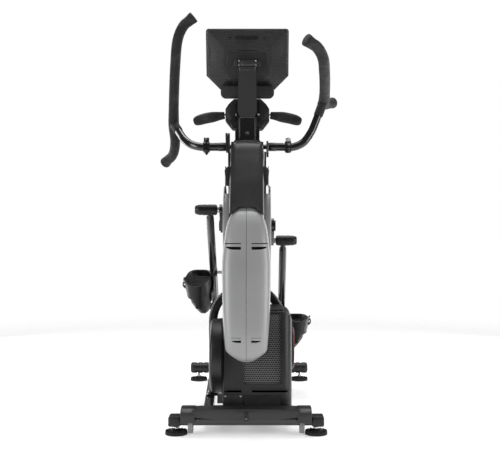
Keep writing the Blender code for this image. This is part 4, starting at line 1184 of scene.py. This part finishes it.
PEDAL_HALF = 0.175
PEDAL_MIDDLE = 0.2242
PEDAL_SECTION = [
    (-1.0, 1.0), (-0.99, 0.55), (-0.98, 0.0), (-1.0, -0.35), (-1.08, -0.7), (-1.02, -0.95), (-0.9, -1.0)
]
PEDAL_SECTION += [
    (-0.55, -1.0), (-0.42, -0.96), (-0.12, -0.8), (0.18, -0.6), (0.46, -0.38), (0.52, -0.22), (0.8, 0.0)
]
PEDAL_SECTION += [(0.88, 0.3), (0.97, 0.8), (1.0, 1.0)]


def pedal_rim(y):
    """The height of a pedal's rim: a toe cup in front, low at the heel."""
    return read(
        [(-0.175, 0.046), (-0.15, 0.06), (-0.07, 0.053), (0.02, 0.03), (0.1, 0.02), (0.175, 0.018)], y
    )


def pedal_point(side, u, v, inset=0.0):
    v = 0.5 - 0.5 * math.cos(math.pi * v)
    y = -PEDAL_HALF + 2 * PEDAL_HALF * v
    plan = (1 - abs(y / PEDAL_HALF) ** 5) ** (1 / 3.0) * read([(-0.175, 0.9), (-0.06, 1.0), (0.175, 0.96)], y)
    keel = read(
        [(-0.175, 0.05), (-0.145, 0.082), (-0.06, 0.087), (0.08, 0.066), (0.15, 0.036), (0.175, 0.02)], y
    )
    spot = u * (len(PEDAL_SECTION) - 1)
    i = min(int(spot), len(PEDAL_SECTION) - 2)
    t = spot - i
    across = PEDAL_SECTION[i][0] * (1 - t) + PEDAL_SECTION[i + 1][0] * t
    up = PEDAL_SECTION[i][1] * (1 - t) + PEDAL_SECTION[i + 1][1] * t
    z = up * (pedal_rim(y) if up > 0 else keel)
    x = PEDAL_MIDDLE + across * (0.0557 - inset) * plan
    return Vector((side * x, y, z))


def pedal(name, side):
    body = name + "_leg"
    tray = skin("pedal_tray_" + name, 60, 56, lambda u, v: pedal_point(side, u, v), 0.0035)
    inner, outer = 2 / (len(PEDAL_SECTION) - 1), 13 / (len(PEDAL_SECTION) - 1)
    edge = [pedal_point(side, inner, 0.03 + 0.94 * v / 30, 0.002) for v in range(31)]
    edge += [pedal_point(side, outer, 0.97 - 0.94 * v / 30, 0.002) for v in range(31)]
    floor = panel("floor", [[(p.x, p.y) for p in edge]], "Z", (-0.01, -0.006))
    rim_points = [pedal_point(side, 0.0, v / 40) for v in range(1, 40)]
    rim_points += [pedal_point(side, 1.0, 1 - v / 40) for v in range(1, 40)]
    rim = pipe("rim", rim_points + rim_points[:1], 0.0042, resolution=4)
    ear_loop = [(0.262, 0.016), (0.278, 0.022), (0.285, 0.034), (0.283, 0.048), (0.27, 0.056), (0.262, 0.052)]
    ear = panel("ear", [ear_loop], "Y", (-0.11 - FRONT_FEET, -0.101 - FRONT_FEET))
    if side < 0:
        moved(ear, Matrix.Scale(-1, 4, (1, 0, 0)))
        outward(ear)
    rounded(ear, 0.0015, 2)
    cut(ear, bar("ear_hole", (side * 0.2745, -0.13, 0.037), (side * 0.2745, -0.08, 0.037), 0.005, sides=24))
    whole = on_pedal(merged("pedal_tray_" + name, tray, floor, rim, ear), name)
    settle(whole, PLASTIC, body, "pedal_" + name)
    low, high = side_span(side, (0.1755, 0.26))
    pad = rounded(block("pad", (low, -0.135, -0.0058), (high, 0.15, -0.0022)), 0.0015, 2)
    ribs = [pad]
    for i in range(13):
        y = -0.126 + i * 0.021
        ribs.append(
            rounded(block("rib", (low + 0.006, y, -0.003), (high - 0.006, y + 0.0075, 0.0)), 0.0012, 2)
        )
    for edge in (low + 0.0005, high - 0.0045):
        ribs.append(rounded(block("edge", (edge, -0.132, -0.003), (edge + 0.004, 0.147, 0.0006)), 0.0012, 2))
    settle(on_pedal(merged("tread_" + name, *ribs), name), RUBBER, body, "pedal_pad_" + name)
    low, high = side_span(side, (0.158, 0.212))
    saddle = rounded(block("pedal_saddle_" + name, (low, -0.08, -0.048), (high, 0.08, -0.012)), 0.004, 3)
    settle(on_pedal(saddle, name), ENAMEL, body)
    for y in (-0.055, 0.055):
        screw = hex_nut("saddle_bolt_" + name, (side * 0.185, y, -0.0735), (0, 0, -1), 0.013, 0.004)
        settle(on_pedal(screw, name), STEEL, body)


def arch():
    """The bent tube over the fan housing, with a rounded square section."""
    half, corner = 0.0175, 0.0085
    outline = bpy.data.curves.new("arch_section", "CURVE")
    outline.dimensions = "2D"
    line = outline.splines.new("POLY")
    loop = rounded_loop((-half, -half), (half, half), corner, 7)
    line.points.add(len(loop) - 1)
    line.use_cyclic_u = True
    for i, (u, v) in enumerate(loop):
        line.points[i].co = (u, v, 0.0, 1.0)
    section = bpy.data.objects.new("arch_section", outline)
    bpy.context.scene.collection.objects.link(section)
    bend = [(x, z) for x, z in arc((0, 0.3865), 0.14, 0, 180, 61)]
    points = [at(0.14, 0.33, z) for z in (0.0852, 0.15, 0.25, 0.34)]
    points += [at(x, 0.33, z) for x, z in bend]
    points += [at(-0.14, 0.33, z) for z in (0.34, 0.25, 0.15, 0.0852)]
    tube = pipe("arch_tube", points, 0, section=section)
    bpy.data.objects.remove(section, do_unlink=True)
    settle(tube, ENAMEL, "frame", "arch_brace", angle=40)
    for name, side in SIDES:
        foot = rounded(
            side_block("arch_foot_" + name, side, (0.116, 0.166), (0.3, 0.362), (0.0845, 0.09)), 0.0015, 2
        )
        settle(foot, ENAMEL, "frame")
        for depth in (0.306, 0.356):
            settle(
                hex_nut("arch_bolt_" + name, at(side * 0.1605, depth, 0.09), (0, 0, 1), 0.01, 0.004),
                STEEL,
                "frame",
            )


# ---------------------------------------------------------------- base
def front_crossbar():
    """The square tube under the cover, with round edges."""
    tube = rounded(block("front_tube", *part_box("front_crossbar")), 0.0085, 5)
    cut(tube, block("strap_way", at(-0.5, 0.012, 0.0662), at(0.5, 0.2, 0.2)))
    settle(tube, ENAMEL, "frame", "front_crossbar")


def foot_cover():
    """A moulded cover along the front crossbar, with a fender over each transport wheel."""
    top = [(x, 0.1015 - 0.0035 * (x / 0.2) ** 2) for x in [0.2 - 0.02 * i for i in range(21)]]
    low = [(x, 0.06 + 0.0115 * (x / 0.2) ** 2) for x in [-0.2 + 0.02 * i for i in range(21)]]
    beam = rounded(panel("beam", [top + low], "Y", (-0.046, 0.0355)), 0.007, 4, 50)
    cut(beam, block("channel", at(-0.197, -0.028, 0.0), at(0.197, 0.08, 0.067)))
    settle(beam, SATIN, "frame", "front_foot_cover", slot="dark_plastic")
    for name, side in SIDES:
        outline = [(-0.046, 0.05), (-0.0505, 0.066), (-0.048, 0.086), (-0.036, 0.0985), (-0.018, 0.103)]
        outline += [(0.022, 0.103), (0.0355, 0.098), (0.036, 0.05)]
        fender = rounded(panel("fender", [outline[::-1]], "X", side_span(side, (0.19, 0.243))), 0.007, 4, 50)
        cut(fender, side_bar("wheel_way", side, (0.1935, 0.2265), (-0.002, 0.036), 0.0385, sides=64))
        cut(fender, side_block("low_way", side, (0.1935, 0.2265), (-0.0405, 0.0365), (0.0, 0.04)))
        cut(fender, side_block("cap_way", side, (0.2425, 0.26), (-0.06, 0.06), (0.0, 0.0745)))
        settle(fender, SATIN, "frame", slot="dark_plastic")
        ridge = smooth_path(
            [
                at(side * 0.1915, -0.0425, 0.054),
                at(side * 0.1915, -0.0478, 0.068),
                at(side * 0.1915, -0.045, 0.086),
                at(side * 0.1915, -0.034, 0.0985),
            ],
            6,
        )
        settle(pipe("fender_seam_" + name, ridge, 0.0011), PLASTIC, "frame")
        cap = side_block("end_block_" + name, side, (0.2435, 0.2895), (-0.032, 0.036), (0.0325, 0.0705))
        only(cap)
        rounded(cap, 0.0065, 4)
        groove = side_block("groove", side, (0.256, 0.2575), (-0.05, 0.05), (0.0, 0.1))
        cut(cap, groove)
        core = rounded(side_block("core", side, (0.25, 0.268), (-0.031, 0.035), (0.0335, 0.0695)), 0.005, 3)
        settle(merged("end_block_" + name, cap, core), PLASTIC, "frame", "front_end_cap_" + name)
    clasp = rounded(block("cover_clasp", at(-0.0085, -0.049, 0.056), at(0.0085, -0.0455, 0.092)), 0.0016, 3)
    settle(clasp, PLASTIC, "frame")
    settle(
        hex_nut("clasp_bolt", at(0, -0.049, 0.068), (0, -1, 0), 0.009, 0.003),
        GUNMETAL,
        "frame",
        slot="steel",
    )
    hood = rounded(block("clasp_hood", at(-0.03, -0.0478, 0.0905), at(0.03, -0.044, 0.0935)), 0.0012, 2)
    settle(hood, SATIN, "frame")


def rear_ends():
    for name, side in SIDES:
        profile = [
            (0.0, 0.0), (0.0262, 0.0), (0.0268, 0.0012), (0.0268, 0.0205), (0.0255, 0.0222),
            (0.0238, 0.0226),
        ]
        profile += [(0.0238, 0.0282), (0.0262, 0.0288), (0.0268, 0.0302), (0.0268, 0.05), (0.0255, 0.0514)]
        profile += [(0.0238, 0.0518), (0.0238, 0.0574), (0.0262, 0.058), (0.0268, 0.0594), (0.0268, 0.079)]
        profile += [(0.0255, 0.084), (0.0215, 0.0878), (0.015, 0.089), (0.0, 0.0892)]
        cap = lathe("rear_end_" + name, profile, at(side * 0.205, 1.15, 0.0635), (side, 0, 0), 64)
        settle(cap, PLASTIC, "frame", "rear_end_cap_" + name)


def foot(row, name, x, depth):
    """A ribbed rubber glide on a threaded stem."""
    node = f"leveling_foot_{row}_{name}"
    profile = [(0.0, 0.02), (0.015, 0.02), (0.0185, 0.019), (0.021, 0.0165), (0.035, 0.014)]
    profile += [(0.0405, 0.011), (0.042, 0.008), (0.042, 0.002), (0.0405, 0.0), (0.0, 0.0)]
    glide = lathe("glide", profile[::-1], at(x, depth, 0.0), (0, 0, 1), 72)
    pieces = [glide]
    rib = rounded(block("rib", (0.02, -0.0016, 0.008), (0.0412, 0.0016, 0.0162)), 0.0012, 2)
    for i in range(18):
        turn = Matrix.Translation(at(x, depth, 0)) @ Matrix.Rotation(math.tau * i / 18, 4, "Z")
        pieces.append(copied(rib, "rib_copy", turn))
    bpy.data.objects.remove(rib, do_unlink=True)
    settle(merged(f"glide_{row}_{name}", *pieces), RUBBER, node, node)
    thread = [(0.0, 0.0195)]
    for i in range(18):
        thread += [(0.0043, 0.0198 + i * 0.00145), (0.0052, 0.0205 + i * 0.00145)]
    thread += [(0.0043, 0.046), (0.0, 0.0462)]
    settle(lathe(f"foot_stem_{row}_{name}", thread, at(x, depth, 0), (0, 0, 1), 24), STEEL, node)
    nut = rounded(bar("foot_nut", at(x, depth, 0.0202), at(x, depth, 0.0262), 0.0095, sides=6), 0.0008, 2)
    nut.name = f"foot_nut_{row}_{name}"
    settle(nut, STEEL, node)


def wheel(name, side):
    node = "transport_wheel_" + name
    profile = [(0.0042, -0.01), (0.01, -0.01), (0.011, -0.008), (0.026, -0.0072), (0.028, -0.0088)]
    profile += [(0.0312, -0.0088), (0.0325, -0.0075), (0.0325, -0.003), (0.0314, -0.0022), (0.0314, 0.0022)]
    profile += [(0.0325, 0.003), (0.0325, 0.0075)]
    profile += [(0.0312, 0.0088), (0.028, 0.0088), (0.026, 0.0072), (0.011, 0.008), (0.01, 0.01)]
    profile += [(0.0042, 0.01), (0.0042, -0.01)]
    disc = lathe("wheel_" + name, profile, at(side * 0.2075, -0.002, 0.036), (1, 0, 0), 72)
    settle(disc, TREAD, node, node, slot="rubber")
    axle = side_bar("wheel_axle_" + name, side, (0.1945, 0.2275), (-0.002, 0.036), 0.0039, sides=24)
    settle(rounded(axle, 0.0006, 2), STEEL, "frame")


# ---------------------------------------------------------------- mast
def mast():
    collar = block("mast_sleeve", at(-0.0505, 0.336, 1.1245), at(0.0505, 0.428, 1.18))
    select_front(collar)
    bpy.ops.mesh.inset(thickness=0.015, depth=-0.007)
    bpy.ops.object.mode_set(mode="OBJECT")
    rounded(collar, 0.0025, 3)
    settle(collar, PLASTIC, "frame", "mast_collar")
    neck = rounded(block("mast_neck", at(-0.0335, 0.3305, 1.112), at(0.0335, 0.356, 1.225)), 0.004, 4)
    settle(neck, ENAMEL, "frame")
    for side in (-1, 1):
        line = smooth_path(
            [
                at(side * 0.0345, 0.3315, 1.12),
                at(side * 0.0345, 0.3315, 1.15),
                at(side * 0.036, 0.333, 1.22),
            ],
            4,
        )
        settle(pipe("neck_edge", line, 0.0016), SATIN, "frame")
    settle(
        hex_nut("neck_bolt", at(0.0, 0.3303, 1.159), (0, -1, 0), 0.014, 0.0045),
        GUNMETAL,
        "frame",
        slot="steel",
    )
    washer = lathe(
        "neck_washer",
        [(0.006, 0.0), (0.0098, 0.0), (0.01, 0.001), (0.006, 0.0014), (0.006, 0.0)],
        at(0, 0.3305, 1.159),
        (0, -1, 0),
        40,
    )
    settle(washer, GUNMETAL, "frame", slot="steel")
    outline = [
        (-0.091, 1.226), (-0.087, 1.219), (-0.08, 1.2165), (-0.062, 1.1815), (0.062, 1.1815), (0.08, 1.2165)
    ]
    outline += [
        (0.087, 1.219), (0.091, 1.226), (0.091, 1.262), (0.077, 1.2825), (0.056, 1.303), (-0.056, 1.303)
    ]
    outline += [(-0.077, 1.2825), (-0.091, 1.262)]
    hub = rounded(panel("grip_hub", [outline], "Y", (0.353, 0.461)), 0.0075, 4, 25)
    settle(hub, PLASTIC, "frame", "handlebar_hub")
    for name, side in SIDES:
        cheek_loop = [
            (side * u, v)
            for u, v in (
                (0.046, 1.212), (0.074, 1.219), (0.0845, 1.231), (0.0845, 1.258), (0.07, 1.281),
                (0.046, 1.293),
            )
        ]
        cheek = rounded(panel("hub_cheek_" + name, [cheek_loop], "Y", (0.3495, 0.356)), 0.002, 3)
        settle(cheek, PLASTIC, "frame")
        fin_loop = [
            (side * u, v)
            for u, v in ((0.05, 1.212), (0.09, 1.2235), (0.092, 1.215), (0.064, 1.1795), (0.05, 1.1795))
        ]
        fin = rounded(panel("hub_fin_" + name, [fin_loop], "Y", (0.36, 0.42)), 0.0025, 3)
        settle(fin, PLASTIC, "frame")
        static_grip(name, side)
    arm()


def static_grip(name, side):
    """A fixed grip that droops outwards, on a bright stub."""
    line = smooth_path(
        [
            at(side * x, d, z)
            for x, d, z in (
                (0.0968, 0.3985, 1.24), (0.13, 0.405, 1.2365), (0.18, 0.417, 1.229), (0.224, 0.43, 1.2175)
            )
        ], 9
    )
    total = (line[-1] - line[0]).length
    radii = []
    for point in line:
        t = (point - line[0]).length / total
        radii.append(
            read(
                [(0.0, 0.015), (0.1, 0.0166), (0.45, 0.0225), (0.75, 0.0222), (0.93, 0.0195), (1.0, 0.014)],
                t,
            ) / 0.02
        )
    grip = pipe("rest_grip_" + name, line, 0.02, radii, resolution=12)
    rounded(grip, 0.0035, 3, 60)
    settle(grip, FOAM, "frame", "static_grip_" + name, angle=50)
    stub = bar("grip_stub_" + name, at(side * 0.04, 0.352, 1.2385), at(side * 0.103, 0.399, 1.2398), 0.008)
    settle(stub, CHROME, "frame", slot="steel")


def arm():
    """The flat bar that carries the console, with a round foot and a barrel hinge on top, and chrome strips
    at its lower corners as painted highlight.
    """
    top = HINGE[1] - 0.015
    outline = [(-0.0362, top), *arc((0, 1.254), 0.0392, 180, 360, 37), (0.0362, top)]
    plate = rounded(panel("console_bar", [outline], "Y", (0.3352, 0.3488)), 0.0045, 5, 50)
    settle(plate, BAR_PAINT, "frame", "console_arm", slot="black_paint")
    # Chrome strips at the bar's lower corners stand in for the highlight there: painted highlight.
    for start, end in ((196, 232), (308, 344)):
        glint = [at(x, 0.3366, z) for x, z in arc((0, 1.254), 0.0374, start, end, 12)]
        settle(pipe("bar_trim", glint, 0.0013), CHROME, "frame", slot="steel")
    yoke = rounded(
        block("hinge_yoke", at(-0.0345, 0.3345, top - 0.016), at(0.0345, 0.348, top + 0.004)), 0.004, 4
    )
    settle(yoke, BAR_PAINT, "frame", slot="black_paint")
    roll = lathe(
        "hinge_roll",
        [(0.0, -0.028), (0.0095, -0.028), (0.0105, -0.0272), (0.0105, 0.0272), (0.0095, 0.028), (0.0, 0.028)],
        at(0, *HINGE),
        (1, 0, 0),
        48,
    )
    settle(roll, GUNMETAL, "frame", slot="steel")
    plate_loop = [(-0.0245, HINGE[1] - 0.01), (-0.0285, HINGE[1] + 0.0105)]
    plate_loop += [(-x, z) for x, z in reversed(plate_loop)]
    tongue = rounded(panel("hinge_tongue", [plate_loop], "Y", (0.329, 0.332)), 0.001, 2)
    settle(tongue, GUNMETAL, "frame", slot="steel")
    for x in (-0.0345, 0.0345):
        ring = lathe(
            "hinge_cheek",
            [
                (0.0, -0.0045), (0.015, -0.0045), (0.016, -0.0035), (0.016, 0.0035), (0.015, 0.0045),
                (0.0, 0.0045),
            ],
            at(x, *HINGE),
            (1, 0, 0),
            48,
        )
        settle(ring, GUNMETAL, "frame", slot="steel")
    axle = side_bar("hinge_axle", 1, (-0.0565, 0.0565), HINGE, 0.0052, sides=32)
    settle(rounded(axle, 0.001, 2), GUNMETAL, "frame", slot="steel")


# ---------------------------------------------------------------- console
def on_console(obj):
    """Moves a piece modelled upright about the hinge to the hinge, leaning towards the front."""
    lean = Matrix.Rotation(math.radians(CONSOLE_LEAN), 4, "X")
    return moved(obj, Matrix.Translation(at(0, *HINGE)) @ lean)


def console_panel(name, loops, span):
    return panel(name, loops, "Y", (span[0] - FRONT_FEET, span[1] - FRONT_FEET))


def select_front(obj):
    """Selects the faces of an upright piece that look to the front."""
    only(obj)
    bpy.ops.object.mode_set(mode="EDIT")
    bpy.ops.mesh.select_mode(type="FACE")
    bpy.ops.mesh.select_all(action="DESELECT")
    bpy.ops.object.mode_set(mode="OBJECT")
    for face in obj.data.polygons:
        face.select = face.normal.y < -0.98
    bpy.ops.object.mode_set(mode="EDIT")


def round_corners(obj, span):
    """Cuts the two upper corners of a console piece to a quarter circle."""
    for side in (-1, 1):
        waste = [(side * 0.185, 0.155), (side * 0.185, 0.1275)]
        waste += [(side * x, z) for x, z in arc((0.16, 0.1275), 0.012, 0, 90, 7)] + [(side * 0.16, 0.155)]
        cut(obj, console_panel("corner", [waste], span))


def console_back():
    corners = [(0.11, -0.116), (0.172, -0.054), (0.172, 0.1395)]
    outline = corners + [(-x, z) for x, z in reversed(corners)]
    shell = console_panel("console_shell", [outline], (0.047, 0.052))
    only(shell)
    bpy.ops.object.mode_set(mode="EDIT")
    bpy.ops.mesh.select_all(action="SELECT")
    bpy.ops.mesh.dissolve_limited(angle_limit=math.radians(1))
    bpy.ops.object.mode_set(mode="OBJECT")
    select_front(shell)
    bpy.ops.mesh.inset(thickness=0.006, depth=0.0045)
    bpy.ops.mesh.inset(thickness=0.006, depth=0.0015)
    bpy.ops.mesh.inset(thickness=0.06, depth=0.017)
    bpy.ops.mesh.inset(thickness=0.004, depth=0.0005)
    bpy.ops.object.mode_set(mode="OBJECT")
    round_corners(shell, (0.0, 0.06))
    rounded(shell, 0.0022, 3, 12)
    for x, z in (
        (-0.071, 0.104), (0.07, 0.104), (-0.15, 0.044), (0.152, 0.044), (-0.066, -0.082), (0.069, -0.082)
    ):
        cut(shell, bar("screw_hole", (x, 0.0, z), (x, 0.0385, z), 0.0042, sides=24))
    vent = console_panel(
        "vent", [[(-0.044, 0.096), (0.042, 0.096), (0.046, 0.11), (-0.05, 0.11)]], (0.01, 0.04)
    )
    cut(shell, vent)
    cut(shell, block("slot", (-0.034, 0.0, 0.05), (0.04, 0.03, 0.053)))
    settle(on_console(shell), DRILLED, "console", "console_back", slot="dark_plastic", angle=28)
    for i in range(9):
        x = -0.04 + i * 0.0098
        slat = rounded(block("vent_slat", (x, 0.031, 0.0955), (x + 0.0042, 0.035, 0.1105)), 0.0008, 2)
        settle(on_console(slat), PLASTIC, "console")
    lip = rounded(block("vent_lip", (-0.043, 0.0275, 0.0895), (0.041, 0.033, 0.0922)), 0.0012, 3)
    settle(on_console(lip), SATIN, "console", slot="charcoal_plastic")
    plate_loop = [
        (-0.08, 0.044), (0.08, 0.044), (0.098, -0.04), (0.066, -0.066), (-0.066, -0.066), (-0.098, -0.04)
    ]
    plate = rounded(console_panel("hinge_plate", [plate_loop], (0.0205, 0.0245)), 0.0025, 4)
    settle(on_console(plate), SATIN, "console", slot="charcoal_plastic")
    for x in (-0.0485, 0.0485):
        lug = block("hinge_lug", (x - 0.0075, -0.012, -0.0125), (x + 0.0075, 0.024, 0.0125))
        settle(on_console(rounded(lug, 0.0055, 5)), PLASTIC, "console")


def console_face():
    corners = [(0.1085, -0.113), (0.1715, -0.052), (0.1715, 0.139)]
    outline = corners + [(-x, z) for x, z in reversed(corners)]
    face = console_panel("console_bezel", [outline], (0.0525, 0.066))
    round_corners(face, (0.05, 0.07))
    rounded(face, 0.0035, 4, 25)
    window = rounded_loop((-0.12, -0.05), (0.12, 0.105), 0.006)
    cut(face, console_panel("window", [window], (0.062, 0.09)))
    settle(on_console(face), SATIN, "console", "console_face")
    pane_loop = rounded_loop((-0.1195, -0.0495), (0.1195, 0.1045), 0.0055)
    pane = rounded(console_panel("display_pane", [pane_loop], (0.0622, 0.0652)), 0.0008, 2)
    settle(on_console(pane), GLASS, "console", "console_screen")
    for i in range(7):
        x = -0.084 + i * 0.028
        key = lathe(
            "console_key",
            [(0.0, 0.0024), (0.0058, 0.0022), (0.0068, 0.0014), (0.007, 0.0), (0.0, 0.0)],
            (x, 0.0655, -0.074),
            (0, 1, 0),
            40,
        )
        settle(on_console(key), RUBBER, "console")
    for x in (-0.07, 0.07):
        bars = []
        for i in range(5):
            row = rounded_loop((x - 0.022, -0.0985 + i * 0.0035), (x + 0.022, -0.097 + i * 0.0035), 0.0006, 3)
            bars.append(console_panel("speaker", [row], (0.065, 0.0668)))
        settle(on_console(merged("speaker_grille", *bars)), PLASTIC, "console")


def media_tray():
    """A rounded shelf under the console, with a lip that holds a tablet."""
    loop = rounded_loop((-0.111, -0.144), (0.111, -0.092), 0.0225, 10)
    body = rounded(console_panel("tray_shell", [loop], (-0.002, 0.085)), 0.013, 6, 50)
    cut(body, rounded(block("tray_way", (-0.103, 0.055, -0.13), (0.103, 0.0785, -0.05)), 0.004, 2))
    cut(body, block("console_way", (-0.14, 0.0225, -0.1175), (0.14, 0.1, -0.05)))
    settle(on_console(body), SATIN, "console", "media_tray", slot="dark_plastic")


# ---------------------------------------------------------------- small parts inside
def pulley_and_belt():
    """Lightening holes and grooves on the pulley that the belt drives."""
    profile = [(0.013, -0.0575), (0.03, -0.0575), (0.032, -0.056), (0.034, -0.0535), (0.118, -0.0535)]
    profile += [(0.12, -0.058), (0.1395, -0.058)]
    for i in range(5):
        profile += [(0.1395, -0.057 + i * 0.0024), (0.138, -0.0558 + i * 0.0024)]
    profile += [(0.1395, -0.0452), (0.12, -0.0452), (0.118, -0.0495), (0.034, -0.0495), (0.032, -0.047)]
    profile += [(0.03, -0.0455), (0.013, -0.0455), (0.013, -0.0575)]
    disc = lathe("belt_pulley", profile, at(0, *CRANK), (1, 0, 0), 96)
    for i in range(6):
        turn = math.radians(60 * i + 30)
        spot = (CRANK[0] + 0.076 * math.cos(turn), CRANK[1] + 0.076 * math.sin(turn))
        cut(disc, side_bar("hole", 1, (-0.07, -0.03), spot, 0.022, sides=40))
    settle(disc, CAST, "crank", "crank_pulley")


dress_frame()
camera()
studio()
front_shroud()
upper_shroud()
for side_name, side_sign in SIDES:
    crank_cover(side_name, side_sign)
    handle(side_name, side_sign)
    leg(side_name, side_sign)
    pedal(side_name, side_sign)
    wheel(side_name, side_sign)
    foot("front", side_name, side_sign * 0.261, 0.0)
    foot("rear", side_name, side_sign * 0.253, 1.15)
fan_housing()
arch()
front_crossbar()
foot_cover()
rear_ends()
mast()
console_back()
console_face()
media_tray()
pulley_and_belt()
